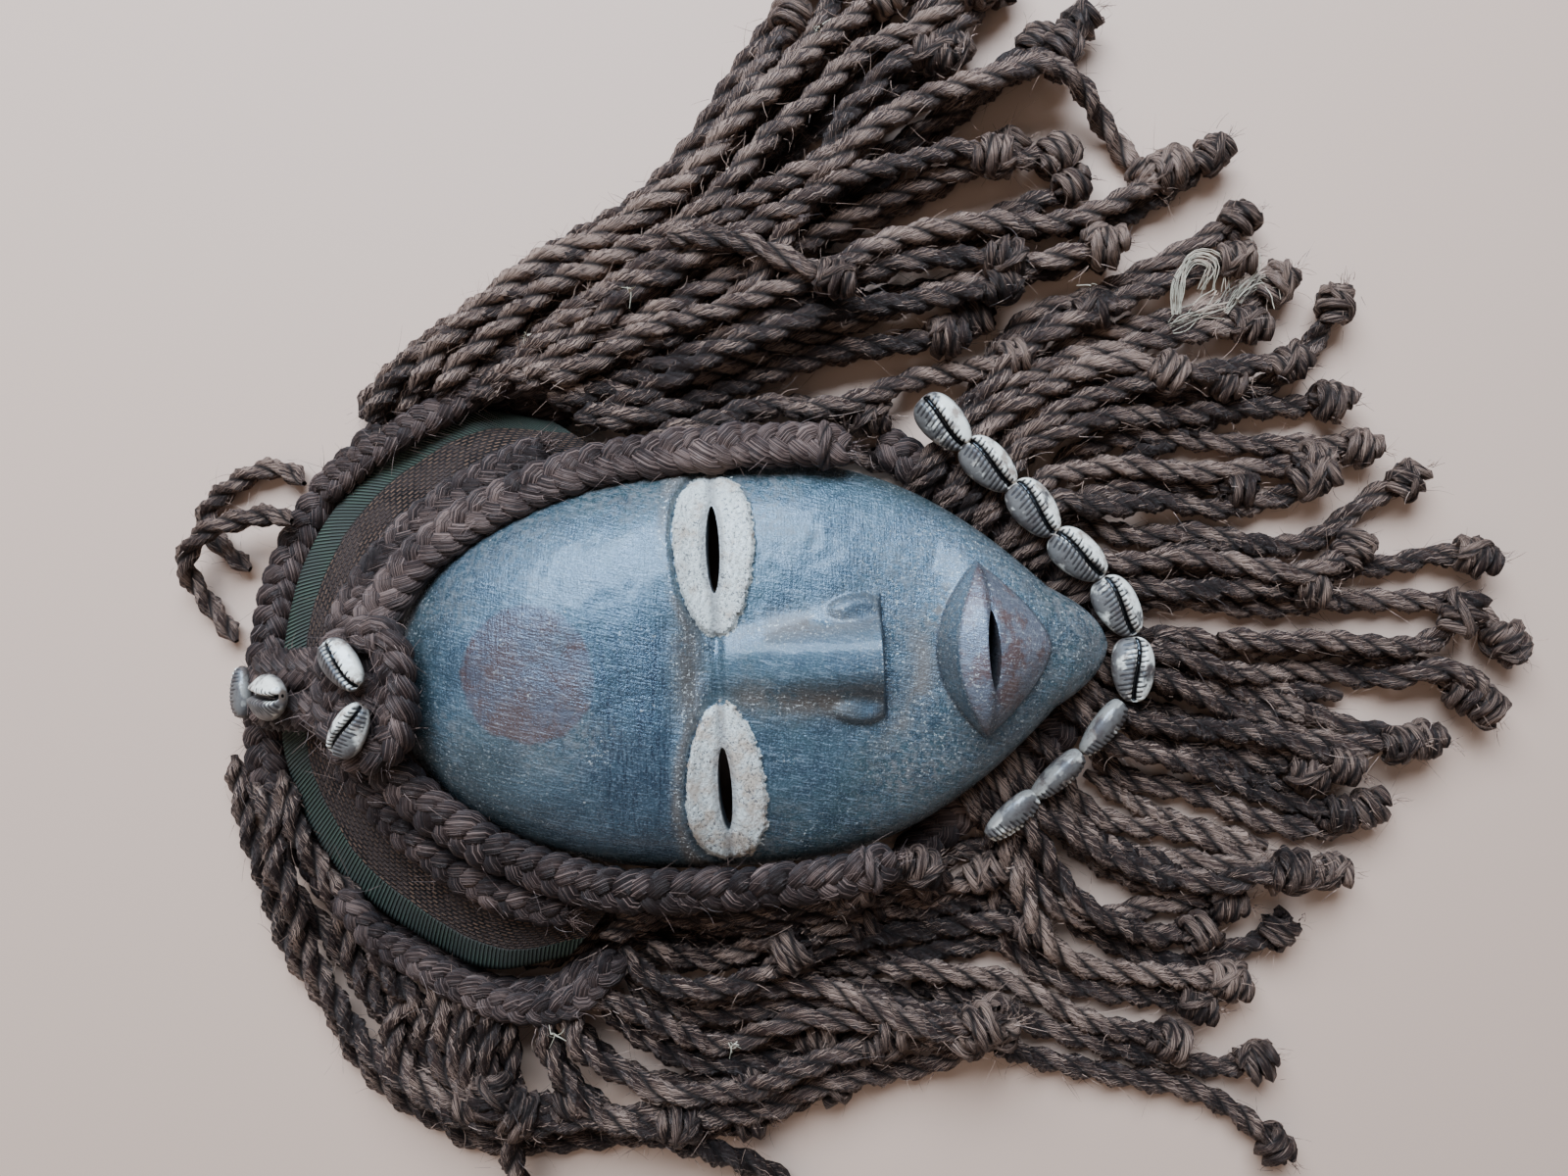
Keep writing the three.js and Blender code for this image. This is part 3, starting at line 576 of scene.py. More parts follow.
def face_paint():
    """Worn blue-grey patina over wood, with chalky rings, a reddish patch and lips, scratches, dust and
    painted shade and highlight.
    """
    p = Paint("painted_wood", {
        "Roughness": 0.4, "Specular IOR Level": 0.95, "Specular Tint": srgb(206, 231, 250),
        "Coat Weight": 0.3, "Coat Roughness": 0.15,
    })
    at = p.places()
    grey, chalk_and_highlight, umber = srgb(146, 152, 156), srgb(226, 216, 202), srgb(100, 80, 62)
    clouds = p.noise(at, 13, 3, 0.55)
    small_clouds = p.noise(at, 95, 5, 0.7)
    strokes = p.noise(p.stretched(at, (170, 1500, 170), 0.25), 1, 3, 0.6)
    cross_strokes = p.noise(p.stretched(at, (1150, 105, 200), 0.05), 1, 3, 0.65)
    grain = p.noise(at, 1400, 2, 0.6)
    dusty = p.noise(at, 60, 5, 0.7)
    pitting = p.noise(at, 950, 4, 0.8)

    colour = p.mix(p.ramp(clouds, 0.36, 0.64), srgb(58, 71, 77), srgb(49, 63, 63))
    colour = p.over(colour, srgb(37, 47, 55), p.ramp(small_clouds, 0.56, 0.40), 0.6)
    colour = p.over(colour, grey, p.ramp(strokes, 0.52, 0.72), 0.45)
    colour = p.over(colour, srgb(36, 46, 56), p.value("hatch"), 0.5)
    hatching = p.times(p.ramp(cross_strokes, 0.54, 0.40), p.plus(0.25, p.value("hatch")))
    colour = p.over(colour, srgb(28, 36, 46), hatching, 0.8)
    colour = p.over(colour, grey, p.ramp(grain, 0.48, 0.75), 0.35)
    # Darker grey-green towards the outline and the top; over the lower-left forehead this is painted shade
    colour = p.over(colour, srgb(48, 54, 50), p.value("edge"), 0.7)

    dust = p.times(p.value("dust"), p.ramp(dusty, 0.32, 0.54))
    colour = p.over(colour, umber, dust, 0.85)
    faded = p.plus(p.ramp(p.noise(at, 24, 4, 0.6), 0.48, 0.66), p.times(p.value("worn"), 0.7))
    faded = p.times(faded, p.ramp(p.noise(at, 420, 4, 0.7), 0.40, 0.62))
    colour = p.over(colour, srgb(104, 92, 82), faded, 0.6)

    patch = p.plus(p.value("patch"), p.about_zero(dusty, 0.35))
    patch_tone = p.mix(p.ramp(small_clouds, 0.40, 0.60), srgb(76, 48, 41), srgb(66, 54, 58))
    patch_tone = p.over(patch_tone, srgb(150, 136, 132), p.ramp(strokes, 0.5, 0.72), 0.35)
    worn_patch = p.times(p.ramp(patch, -0.02, 0.06), p.ramp(p.noise(at, 42, 4, 0.6), 0.22, 0.46))
    colour = p.over(colour, patch_tone, worn_patch, 0.85)

    lip_tone = p.mix(p.ramp(small_clouds, 0.44, 0.58), srgb(96, 92, 96), srgb(92, 62, 54))
    lip_tone = p.over(lip_tone, srgb(158, 150, 150), p.ramp(strokes, 0.5, 0.7), 0.35)
    on_lips = p.times(p.value("lips"), p.calc("SUBTRACT", 1.0, p.value("lip_wall")))
    colour = p.over(colour, lip_tone, on_lips, 0.9)
    # Painted shade in the crease round the lips and in the seam by the slit
    colour = p.over(colour, srgb(36, 36, 40), p.value("lip_edge"), 0.7)
    # Painted shadow under the nose tip, and painted shade in the nostrils
    colour = p.over(colour, srgb(20, 26, 34), p.value("dark"), 0.85)

    specks = p.ramp(p.noise(at, 900, 4, 0.75), 0.57, 0.66)
    where = p.most(p.value("chalk_and_highlight"), p.times(p.ramp(dusty, 0.52, 0.72), 0.8),
                   p.times(p.value("edge"), 0.5), p.times(p.value("worn"), 0.5))
    # Cream specks of chalk and dust, which on the nose tip's edge are a painted highlight
    colour = p.over(colour, chalk_and_highlight, specks, where)

    ragged = p.about_zero(p.noise(at, 480, 4, 0.75), 0.22)
    ring = p.ramp(p.plus(p.value("ring"), ragged), 0.0, 0.03)
    pitted = p.times(p.ramp(pitting, 0.47, 0.40), p.ramp(p.noise(at, 90, 3, 0.6), 0.32, 0.52))
    stained = p.plus(p.noise(at, 130, 4, 0.6), p.times(p.value("lower"), 0.12))
    ring_tone = p.mix(p.ramp(stained, 0.50, 0.74), srgb(255, 243, 224), srgb(226, 194, 164))
    ring_tone = p.over(ring_tone, srgb(92, 76, 66), pitted, 0.9)
    ring_tone = p.over(ring_tone, srgb(132, 118, 108), p.value("lid"), 0.55)
    colour = p.mix(ring, colour, ring_tone)
    colour = p.mix(p.value("inside"), colour, srgb(70, 56, 46))

    rough = p.plus(0.14, p.times(small_clouds, 0.24))
    rough = p.plus(rough, p.times(p.most(ring, p.value("inside")), 0.5))
    rough = p.plus(rough, p.times(p.most(p.value("nose"), dust, faded), 0.35))
    height = p.plus(p.times(strokes, 0.5), p.times(cross_strokes, 0.6))
    height = p.plus(height, p.times(grain, 0.5))
    normal = p.bump(height, 0.0006, 0.9)
    normal = p.bump(pitting, 0.0016, ring, normal)
    return p.finish(colour, normal, rough)


def carve_face():
    """The carved face as one mesh: the solid with its hollow and slits cut out, and its painted places."""
    SHARP_ANGLE = math.radians(55)
    tools = [hollow_solid(), slit_solid("slit_left", SLIT, 1), slit_solid("slit_right", SLIT, -1),
             slit_solid("slit_mouth", MOUTH_SLIT, 1)]
    mesh = cut(outward(face_solid()), [outward(tool) for tool in tools])
    mesh.name = "carved_face"
    places = np.zeros(len(mesh.vertices) * 3, np.float32)
    mesh.vertices.foreach_get("co", places)
    places = places.reshape(-1, 3).astype(float)
    for key, value in face_values(*places.T).items():
        add_values(mesh, key, value)
    mesh.vertices.foreach_set("co", (places - MIDDLE).ravel())
    mesh.materials.clear()
    mesh.materials.append(face_paint())
    add_object("carved_face", mesh, ["mask_face"])
    mesh.set_sharp_from_angle(angle=SHARP_ANGLE)


# Twisted strands, knots and loose fibres

def rope_part(line, radius, tone, lay=STRAND_LAY, sides=12):
    """Two plies twisted round each other along a line, with drawn-in ends."""
    PLY, OFFSET, CREASE, STEP = 0.62, 0.40, 0.3, 0.0016
    TIP, TIP_THICKNESS = 3, 0.35
    along = run_along(line)
    count = len(line)
    turn = np.linspace(0, 2 * math.pi, sides, endpoint=False)
    turn = turn + CREASE * np.sin(2 * turn)
    bulge = OFFSET * np.abs(np.cos(turn)) + np.sqrt(PLY ** 2 - (OFFSET * np.sin(turn)) ** 2)
    twist = CHANCE.uniform(0, 2 * math.pi) + 2 * math.pi * along / lay + wander(count, STEP, 0.03, 0.5)
    thick = radius * (0.97 + wander(count, STEP, 0.02, 0.035))
    thick[:TIP] *= np.linspace(TIP_THICKNESS, 1, TIP, endpoint=False)
    thick[-TIP:] *= np.linspace(1, TIP_THICKNESS, TIP + 1)[1:]
    _, side, up = frames_along(line)
    angle = twist[:, None] + turn[None, :]
    out = np.cos(angle)[..., None] * side[:, None] + np.sin(angle)[..., None] * up[:, None]
    points = line[:, None] + (thick[:, None] * bulge[None, :])[..., None] * out
    around = (twist[:, None] + np.append(turn, 2 * math.pi)[None, :]) / (2 * math.pi)
    shade = tone + wander(count, STEP, 0.025, 0.10)
    # unshaded is 1 on each ply's top and 0 in the crease between plies, where shade is painted
    return grid_part(points, along[:, None], around, wrap=True, tone=shade[:, None],
                     ply=np.abs(np.cos(turn))[None, :], pale=0.0)


def knot_parts(end, heading, tone, size):
    """A strand's end wound round itself: coils round the heading, and one turn laid slantwise over them."""
    TURNS, COIL, THICK, HALF = 2.7, 0.0050, 0.0033, 0.0062
    LAY, OVER, CORE_HALF, CORE_THICK = 0.030, 0.0058, 0.0075, 0.0045
    tilt = CHANCE.uniform(-0.45, 0.45)
    flat = unit(np.array((heading[0] * math.cos(tilt) - heading[1] * math.sin(tilt),
                          heading[0] * math.sin(tilt) + heading[1] * math.cos(tilt), heading[2] * 0.3)))
    side = unit(np.cross((0, 0, 1), flat))
    up = np.cross(flat, side)
    t = np.linspace(0, 1, 62)[:, None]
    phase = CHANCE.uniform(0, 2 * math.pi)
    angle = phase + 2 * math.pi * TURNS * t
    barrel = COIL * (1 - 0.30 * (2 * t - 1) ** 2)
    coil = end + size * (flat * HALF * (2 * t - 1) + barrel * (np.cos(angle) * side + np.sin(angle) * up))
    t = np.linspace(0, 1, 20)[:, None]
    angle = phase + math.pi * (0.2 + 0.9 * t)
    barrel = OVER - 0.0012 * (2 * t - 1) ** 2
    around = np.cos(angle) * side + np.sin(angle) * up
    over = end + size * (flat * HALF * 1.1 * (1 - 2 * t) + barrel * around)
    core = np.linspace(end - flat * CORE_HALF * size, end + flat * CORE_HALF * size, 7)
    return [
        rope_part(coil, THICK * size, tone, lay=LAY, sides=8),
        rope_part(over, THICK * 0.8 * size, tone + 0.05, lay=LAY, sides=8),
        rope_part(core, CORE_THICK * size, tone - 0.15, sides=8),
    ]


def fibre_part(starts, headings, lengths, width, tone, pale=0.0, curl=0.6):
    """Loose fibres as thin bent ribbons, one for each start."""
    SPANS, FLATNESS, LOWEST = 4, (1, 1, 0.35), 0.0004
    count = len(starts)
    t = np.linspace(0, 1, SPANS + 1)[None, :, None]
    lengths = np.broadcast_to(lengths, count)[:, None, None]
    bend = CHANCE.normal(0, curl, (count, 1, 3)) * FLATNESS
    end_bend = CHANCE.normal(0, curl * 0.6, (count, 1, 3)) * FLATNESS
    line = starts[:, None] + lengths * (headings[:, None] * t + bend * t ** 2 * 0.5 + end_bend * t ** 3 * 0.5)
    line[..., 2] = np.maximum(line[..., 2], LOWEST)
    sideways = unit(np.cross(line[:, -1] - line[:, 0], CHANCE.normal(0, 1, (count, 3))))[:, None]
    thin = width * (1 - 0.7 * t)
    points = np.stack((line - thin * sideways, line + thin * sideways), axis=2)
    base = np.arange(count)[:, None] * (SPANS + 1) * 2 + np.arange(SPANS)[None, :] * 2
    faces = np.stack((base, base + 1, base + 3, base + 2), axis=-1).reshape(-1, 4)
    points = points.reshape(-1, 3)
    maps = np.zeros((len(faces), 4, 2))
    maps[:, :, 0] = CHANCE.uniform(0, 1, (len(faces), 1))
    tones = np.repeat(np.broadcast_to(tone, count), (SPANS + 1) * 2)
    return {"points": points, "faces": faces, "maps": maps,
            "values": {"tone": tones, "ply": np.ones(len(points)), "pale": np.full(len(points), pale)}}


def fuzz_part(line, radius, tone, spacing=0.0022):
    """Short stray fibres standing off a strand or plait."""
    WIDTH = 0.00009
    count = max(4, int(run_along(line)[-1] / spacing))
    tangent, side, up = frames_along(line)
    at = CHANCE.integers(0, len(line) - 1, count)
    angle = CHANCE.uniform(-0.25, math.pi + 0.25, count)[:, None]
    out = np.cos(angle) * side[at] + np.sin(angle) * up[at]
    forward = CHANCE.choice((-1, 1), (count, 1))
    leaning = tangent[at] * forward * CHANCE.uniform(0.3, 1, (count, 1))
    headings = unit(leaning + out * CHANCE.uniform(0.1, 0.8, (count, 1)))
    lengths = CHANCE.uniform(0.0025, 0.0085, count)
    shades = tone + CHANCE.normal(0.3, 0.2, count)
    return fibre_part(line[at] + out * radius * 0.85, headings, lengths, WIDTH, shades)


def tuft_part(end, heading, length, count, tone, pale=0.0):
    """A frayed end: fibres that fan out from a point."""
    SPREAD, CURL, WIDTH = 0.45, 0.5, 0.00014
    headings = unit(heading + CHANCE.normal(0, SPREAD, (count, 3)) * (1, 1, 0.4))
    starts = end + CHANCE.normal(0, 0.0012, (count, 3))
    return fibre_part(starts, headings, CHANCE.uniform(0.4, 1, count) * length, WIDTH, tone, pale, CURL)


def fibre_paint(name, dark, middle, light, sheen):
    """Plant fibre: paler threads with painted glints along the fibres over darker ones, and near-black
    painted shade where plies meet and on a plait's underside.
    """
    p = Paint(name, {
        "Roughness": 0.46, "Specular Tint": srgb(240, 212, 196),
        "Sheen Weight": sheen, "Sheen Roughness": 0.4, "Sheen Tint": srgb(190, 184, 186),
    })
    streaks = p.noise(p.stretched(p.weave(), (60, 30, 1)), 1, 4, 0.7)
    threads = p.noise(p.stretched(p.weave(), (60, 84, 1)), 1, 2, 0.6)
    patches = p.noise(p.places(), 60, 3, 0.6)
    lightness = p.plus(streaks, p.about_zero(patches, 0.7))
    lightness = p.plus(lightness, p.times(p.value("tone"), 0.45))
    colour = p.mix(p.ramp(lightness, 0.32, 0.56), dark, middle)
    # Paler fibres and painted glints: the light colour along the threads, more where the strand is lighter
    shine = p.plus(threads, p.about_zero(lightness, 0.45))
    colour = p.over(colour, light, p.ramp(shine, 0.52, 0.61), 0.95)
    # Near-black painted shade in the creases between plies and yarns, and on a plait's underside
    colour = p.over(colour, srgb(17, 11, 9), p.ramp(p.value("ply"), 0.64, 0.05), 0.94)
    colour = p.mix(p.value("pale"), colour, srgb(205, 186, 156))
    fibres = p.plus(p.times(streaks, 0.5), p.times(threads, 0.5))
    return p.finish(colour, p.bump(fibres, 0.0018))


class Heap:
    """How high the pile reaches at each cell of a grid over the floor."""

    CELL = 0.0015
    LOW = np.array((-0.235, -0.235))
    SIZE = (370, 350)
    LOOK_FROM = 0.2

    def __init__(self, nodes):
        points, faces = [], []
        for node in nodes:
            offset = len(points)
            points += [v.co.copy() for v in node.data.vertices]
            faces += [[i + offset for i in face.vertices] for face in node.data.polygons]
        tree = BVHTree.FromPolygons(points, faces)
        self.height = np.zeros(self.SIZE)
        down = Vector((0, 0, -1))
        for i in range(self.SIZE[0]):
            for j in range(self.SIZE[1]):
                x, y = self.LOW + self.CELL * np.array((i, j)) - MIDDLE[:2]
                hit = tree.ray_cast(Vector((x, y, self.LOOK_FROM)), down)[0]
                if hit is not None:
                    self.height[i, j] = hit.z

    def cells(self, points, radius):
        """The cells near each point, how high a ball of that radius reaches over its middle there, and
        which of them it covers."""
        reach = int(radius / self.CELL) + 1
        steps = np.arange(-reach, reach + 1)
        di, dj = (a.ravel() for a in np.meshgrid(steps, steps, indexing="ij"))
        middle = np.rint((points[:, :2] - self.LOW) / self.CELL).astype(int)
        i = np.clip(middle[:, :1] + di, 0, self.SIZE[0] - 1)
        j = np.clip(middle[:, 1:] + dj, 0, self.SIZE[1] - 1)
        off_x = self.LOW[0] + i * self.CELL - points[:, :1]
        off_y = self.LOW[1] + j * self.CELL - points[:, 1:2]
        left = radius ** 2 - (off_x ** 2 + off_y ** 2)
        return i, j, np.sqrt(np.clip(left, 0, None)), left > 0

    def rest_height(self, points, radius):
        """How high a ball's middle is when it rests on the pile at each point."""
        i, j, rise, inside = self.cells(points, radius)
        return np.where(inside, self.height[i, j] + rise, 0).max(axis=1)

    def add(self, line, radius):
        """A strand joins the pile."""
        i, j, rise, inside = self.cells(line, radius)
        tops = np.where(inside, line[:, 2:3] + rise, 0)
        np.maximum.at(self.height, (i.ravel(), j.ravel()), tops.ravel())


def laid(heap, route, radius, highest):
    """A strand's line that follows a route and lies on whatever is there already, no higher than it may.

    The route is where the camera sees the strand, measured on a plane near the floor, so a point that is
    raised moves towards the camera's axis.
    """
    STEEPEST, SINK, SEEN_ON, DEEPEST = 0.55, 0.72, 0.008, 0.0008
    seen = curve_through([(x, y, 0.0) for x, y in route], STRAND_STEP)
    _, side, _ = frames_along(seen)
    seen = seen + side * wander(len(seen), STRAND_STEP, 0.035, 0.0010)[:, None]
    axis = np.array(CAMERA_PLACE[:2]) + MIDDLE[:2]
    line = seen.copy()
    for _ in range(3):
        need = np.minimum(heap.rest_height(line, radius * SINK), highest)
        height = need.copy()
        for i in range(1, len(height)):
            height[i] = max(height[i], height[i - 1] - STEEPEST * STRAND_STEP)
        for i in range(len(height) - 2, -1, -1):
            height[i] = max(height[i], height[i + 1] - STEEPEST * STRAND_STEP)
        height = np.maximum(softened(height, 24), need - DEEPEST)
        line[:, 2] = np.maximum(softened(height, 10), radius)
        nearer = (CAMERA_PLACE[2] - line[:, 2:]) / (CAMERA_PLACE[2] - SEEN_ON)
        line[:, :2] = axis + (seen[:, :2] - axis) * nearer
    heap.add(line, radius)
    return line


def strand_pieces(name, line, tone, paint, stands_for):
    """A strand, and its knot with the stray fibres as a piece of its own."""
    heading = unit(line[-1] - line[-6])
    end = line[-1] + heading * 0.002
    end[2] = max(end[2], KNOT_RADIUS)
    size = CHANCE.uniform(0.9, 1.08)
    strand = add_piece(name, [rope_part(line, STRAND_RADIUS, tone)], paint, stands_for)
    parts = knot_parts(end, heading, tone + 0.06, size)
    parts.append(fuzz_part(line, STRAND_RADIUS, tone))
    parts.append(tuft_part(end + heading * 0.008, heading, CHANCE.uniform(0.003, 0.008), 12, tone + 0.35))
    through = np.linspace(end - heading * 0.007, end + heading * 0.007, 9)
    parts.append(fuzz_part(through, 0.008, tone, 0.0012))
    return strand, add_piece(f"{name}_knot", parts, paint)


# Plaits, pad, band and shells

def plait_parts(line, size, tone, up=(0.0, 0.0, 1.0)):
    """Flat bundles of yarns plaited along a line. Size is half its width, its thickness and its pitch."""
    BUNDLES, SIDES, YARNS, RIDGE = 3, 26, 13, 0.075
    half, thickness, pitch = size
    along = run_along(line)
    count = len(line)
    _, side, above = frames_along(line, up)
    turn = np.linspace(0, 2 * math.pi, SIDES, endpoint=False)
    ridge = 1 + RIDGE * np.cos(YARNS * turn)
    fade = np.ones(count)
    fade[:4] = (0.3, 0.6, 0.8, 0.93)
    fade[-4:] = fade[:4][::-1]
    parts = []
    for k in range(BUNDLES):
        phase = 2 * math.pi * (along / pitch + k / BUNDLES) + wander(count, PLAIT_STEP, 0.03, 0.25)
        sway, rise = half * 0.50 * np.sin(phase), thickness * 0.30 * np.sin(2 * phase)
        centre = line + side * sway[:, None] + above * rise[:, None]
        direction = unit(np.gradient(centre, axis=0))
        across = unit(np.cross(above, direction))
        outside = np.cross(direction, across)
        swell = fade * (1 + wander(count, PLAIT_STEP, 0.02, 0.09))
        wide = (half * 0.54 * swell)[:, None] * (ridge * np.cos(turn))[None, :]
        high = (thickness * 0.52 * swell)[:, None] * (ridge * np.sin(turn))[None, :]
        points = centre[:, None] + wide[..., None] * across[:, None] + high[..., None] * outside[:, None]
        around = np.broadcast_to(np.append(turn, 2 * math.pi) / (2 * math.pi), (count, SIDES + 1))
        shade = tone + CHANCE.normal(0, 0.06) + wander(count, PLAIT_STEP, 0.015, 0.14)
        # unshaded is low between the yarns and on the plait's underside, where shade is painted
        ply = (0.72 + 0.28 * np.cos(YARNS * turn))[None, :] * (0.75 + 0.25 * np.sin(turn))[None, :]
        parts.append(grid_part(points, along[:, None], around, wrap=True, tone=shade[:, None], ply=ply,
                               pale=0.0))
    parts.append(fuzz_part(line, half * 0.95, tone, 0.0008))
    return parts


def hitch_part(place, heading, radius, tone, low, thick):
    """A strand's turn over the plait that it is tied to, no lower than it may."""
    heading = unit(np.array((heading[0], heading[1], 0.0)))
    turn = np.linspace(-0.5, math.pi + 0.5, 22)[:, None]
    side = np.cross((0, 0, 1), heading)
    line = place + radius * (np.cos(turn) * side + np.sin(turn) * np.array((0, 0, 1.0)))
    line[:, 2] = np.maximum(line[:, 2], low)
    return rope_part(line, thick, tone, lay=0.020)


def band_edge(route, height):
    """An edge of the band as points at even shares of its length."""
    POINTS = 300
    line = curve_through([(x, y, height) for x, y in route], 0.002)
    along = run_along(line) / run_along(line)[-1]
    t = np.linspace(0, 1, POINTS)
    return np.column_stack([np.interp(t, along, line[:, k]) for k in range(3)])


def band_piece():
    """The cap's webbing, with its ribbed border along the outer edge."""
    COLUMNS = 22
    inner, outer = band_edge(BAND_INNER, BAND_INNER_HEIGHT), band_edge(BAND_OUTER, BAND_OUTER_HEIGHT)
    s = np.linspace(0, 1, COLUMNS)[None, :, None]
    top = inner[:, None] * (1 - s) + outer[:, None] * s
    bulge = BAND_BULGE * np.sin(math.pi * s[..., 0]) ** 0.8
    uneven = 0.0004 * ripple(top[..., 0], top[..., 1], 0.02, 31)
    top[..., 2] += bulge + uneven
    under = top.copy()
    under[..., 2] -= BAND_THICKNESS
    middle = (inner + outer) / 2
    along = run_along(middle)[:, None]
    width = np.linalg.norm(outer - inner, axis=1)[:, None]
    loop = np.concatenate((top, under[:, ::-1]), axis=1)
    from_edge = width * (1 - s[..., 0])
    across = np.concatenate((from_edge, from_edge[:, ::-1], from_edge[:, :1]), axis=1)
    part = grid_part(loop, along, across, wrap=True, edge=across[:, :-1])
    piece = add_piece("cap_webbing", [part], webbing_paint(), ["cap_band"])


def webbing_paint():
    """Coarse brown weave with a ribbed green border, both worn and dusty, with painted shade in the weave's
    gaps and the ribs' grooves.
    """
    BORDER, RAGGED, RIB, RIB_SLANT = 0.0112, 0.0006, 0.00125, 0.35
    p = Paint("webbing", {"Roughness": 0.85, "Specular IOR Level": 0.2})
    weave = p.weave()
    # The near-black mortar is painted shade in the gaps between the weave's cells
    cells = p.node("ShaderNodeTexBrick", {
        "Vector": weave, "Scale": 1.0, "Mortar Size": 0.00055, "Mortar Smooth": 0.7,
        "Brick Width": 0.0025, "Row Height": 0.0014,
        "Color1": srgb(124, 90, 68), "Color2": srgb(80, 56, 44), "Mortar": srgb(12, 8, 7),
    }, offset=0.5)
    worn = p.noise(p.places(), 70, 4, 0.6)
    fibres = p.noise(p.stretched(weave, (700, 2500, 1)), 1, 2)
    brown = p.over(cells.outputs["Color"], srgb(68, 52, 45), p.ramp(worn, 0.35, 0.65), 0.75)
    brown = p.over(brown, srgb(134, 106, 84), p.ramp(fibres, 0.5, 0.8), 0.3)
    split = p.node("ShaderNodeSeparateXYZ", {"Vector": weave})
    slant = p.plus(split.outputs[0], p.times(split.outputs[1], RIB_SLANT))
    ribs = p.calc("SINE", p.times(slant, 2 * math.pi / RIB))
    ribs = p.plus(p.times(ribs, 0.5), 0.5)
    # The ribs are painted darker in their grooves and lighter on their ridges, as painted shade and light
    green = p.mix(ribs, srgb(42, 44, 36), srgb(92, 99, 80))
    green = p.over(green, srgb(72, 68, 60), p.ramp(worn, 0.36, 0.60), 0.65)
    from_edge = p.plus(p.value("edge"), p.about_zero(worn, 0.003))
    border = p.ramp(from_edge, BORDER + RAGGED, BORDER - RAGGED)
    woven = p.plus(p.times(cells.outputs["Fac"], -0.8), p.times(fibres, 0.4))
    height = p.plus(p.times(woven, p.calc("SUBTRACT", 1.0, border)), p.times(ribs, border))
    return p.finish(p.mix(border, brown, green), p.bump(height, 0.0014))


def cowrie_part(place, turn, lean, scale, roll=0.0):
    """A cowrie on its back, with its toothed slit up. Turn is the angle of its length from +X, in degrees."""
    ROWS, COLUMNS, TOOTH = 64, 44, 0.00170
    length, width, height = (COWRIE[k] * scale for k in ("length", "width", "height"))
    u = np.linspace(0.04, math.pi - 0.04, ROWS)[:, None]
    bunch = np.linspace(-1, 1, COLUMNS + 1)[None, :-1]
    v = math.pi / 2 + math.pi * np.sign(bunch) * np.abs(bunch) ** 1.5
    x = -np.cos(u) * length / 2
    girth = np.sin(u) ** 0.75 * (1 + 0.13 * np.cos(u))
    y = girth * np.cos(v) * width / 2
    z = girth ** 0.9 * np.sin(v) * height / 2
    z = np.where(z < 0, z * 0.75, z)
    on_top = smoothstep(np.sin(v), 0.0, 0.5) * np.ones_like(u)
    slit_y = 0.0011 * scale * np.sin(2 * u) + 0.0006 * scale
    away = (y - slit_y) / scale
    ends = smoothstep(np.sin(u), 0.12, 0.45)
    slit = bell(away, 0, 0.00100) * on_top * ends
    roll_in = bell(np.abs(away), 0.0021, 0.0014) * on_top * ends
    teeth = 0.5 + 0.5 * np.cos(2 * math.pi * x / (TOOTH * scale) + 2.5 * away / 0.004)
    reach = np.where(away > 0, 0.0021, 0.0046) + 0.0008 * np.sin(2.4 * np.round(x / (TOOTH * scale)))
    toothed = smoothstep(np.abs(away), 0.0002, 0.0008) * smoothstep(np.abs(away) - reach, 0.0014, 0.0)
    toothed = toothed * on_top * ends
    z = z - scale * (0.0030 * slit - 0.0005 * roll_in) + scale * 0.00042 * (teeth - 0.5) * toothed
    points = np.dstack((x * np.ones_like(v), y, z))
    for degrees, axis in ((roll, "X"), (turn, "Z"), (lean, "Y")):
        points = points @ np.array(Matrix.Rotation(math.radians(degrees), 3, axis)).T
    flat = np.zeros((ROWS, COLUMNS + 1))
    return grid_part(points + np.array(place), flat[:, :1], flat, wrap=True, slit=slit, girth=girth,
                     gap=(1 - teeth) * toothed, lobe=smoothstep(-away, 0.0005, 0.002) * on_top,
                     rim=1 - np.sin(v) * np.ones_like(u))


def shell_paint():
    """Cowrie shell: glossy cream with a greyer lobe, stained gaps between the teeth, and the slit painted
    near black as shade.
    """
    p = Paint("cowrie_shell", {"Roughness": 0.24, "Specular IOR Level": 0.6})
    at = p.places()
    colour = p.mix(p.ramp(p.noise(at, 190, 4, 0.65), 0.46, 0.66), srgb(242, 226, 204), srgb(160, 136, 118))
    worn = p.plus(p.noise(at, 140, 3, 0.6), p.times(p.value("lobe"), 0.19))
    colour = p.over(colour, srgb(62, 52, 49), p.ramp(worn, 0.50, 0.64), 0.90)
    colour = p.over(colour, srgb(74, 64, 60), p.ramp(p.value("rim"), 0.45, 1.0), 0.75)
    colour = p.over(colour, srgb(40, 32, 30), p.ramp(p.value("gap"), 0.42, 0.75), 0.92)
    # The slit painted near black, as the shade inside the shell
    colour = p.mix(p.ramp(p.value("slit"), 0.30, 0.65), colour, srgb(12, 9, 9))
    colour = p.mix(p.ramp(p.value("girth"), 0.42, 0.2), colour, srgb(90, 72, 60))
    rough = p.plus(0.20, p.times(p.ramp(worn, 0.5, 0.66), 0.30))
    return p.finish(colour, p.bump(p.noise(at, 700, 3, 0.6), 0.0003, 0.6), rough)

# Places of the strands, plaits and shells, over the floor plan from the middle of the face

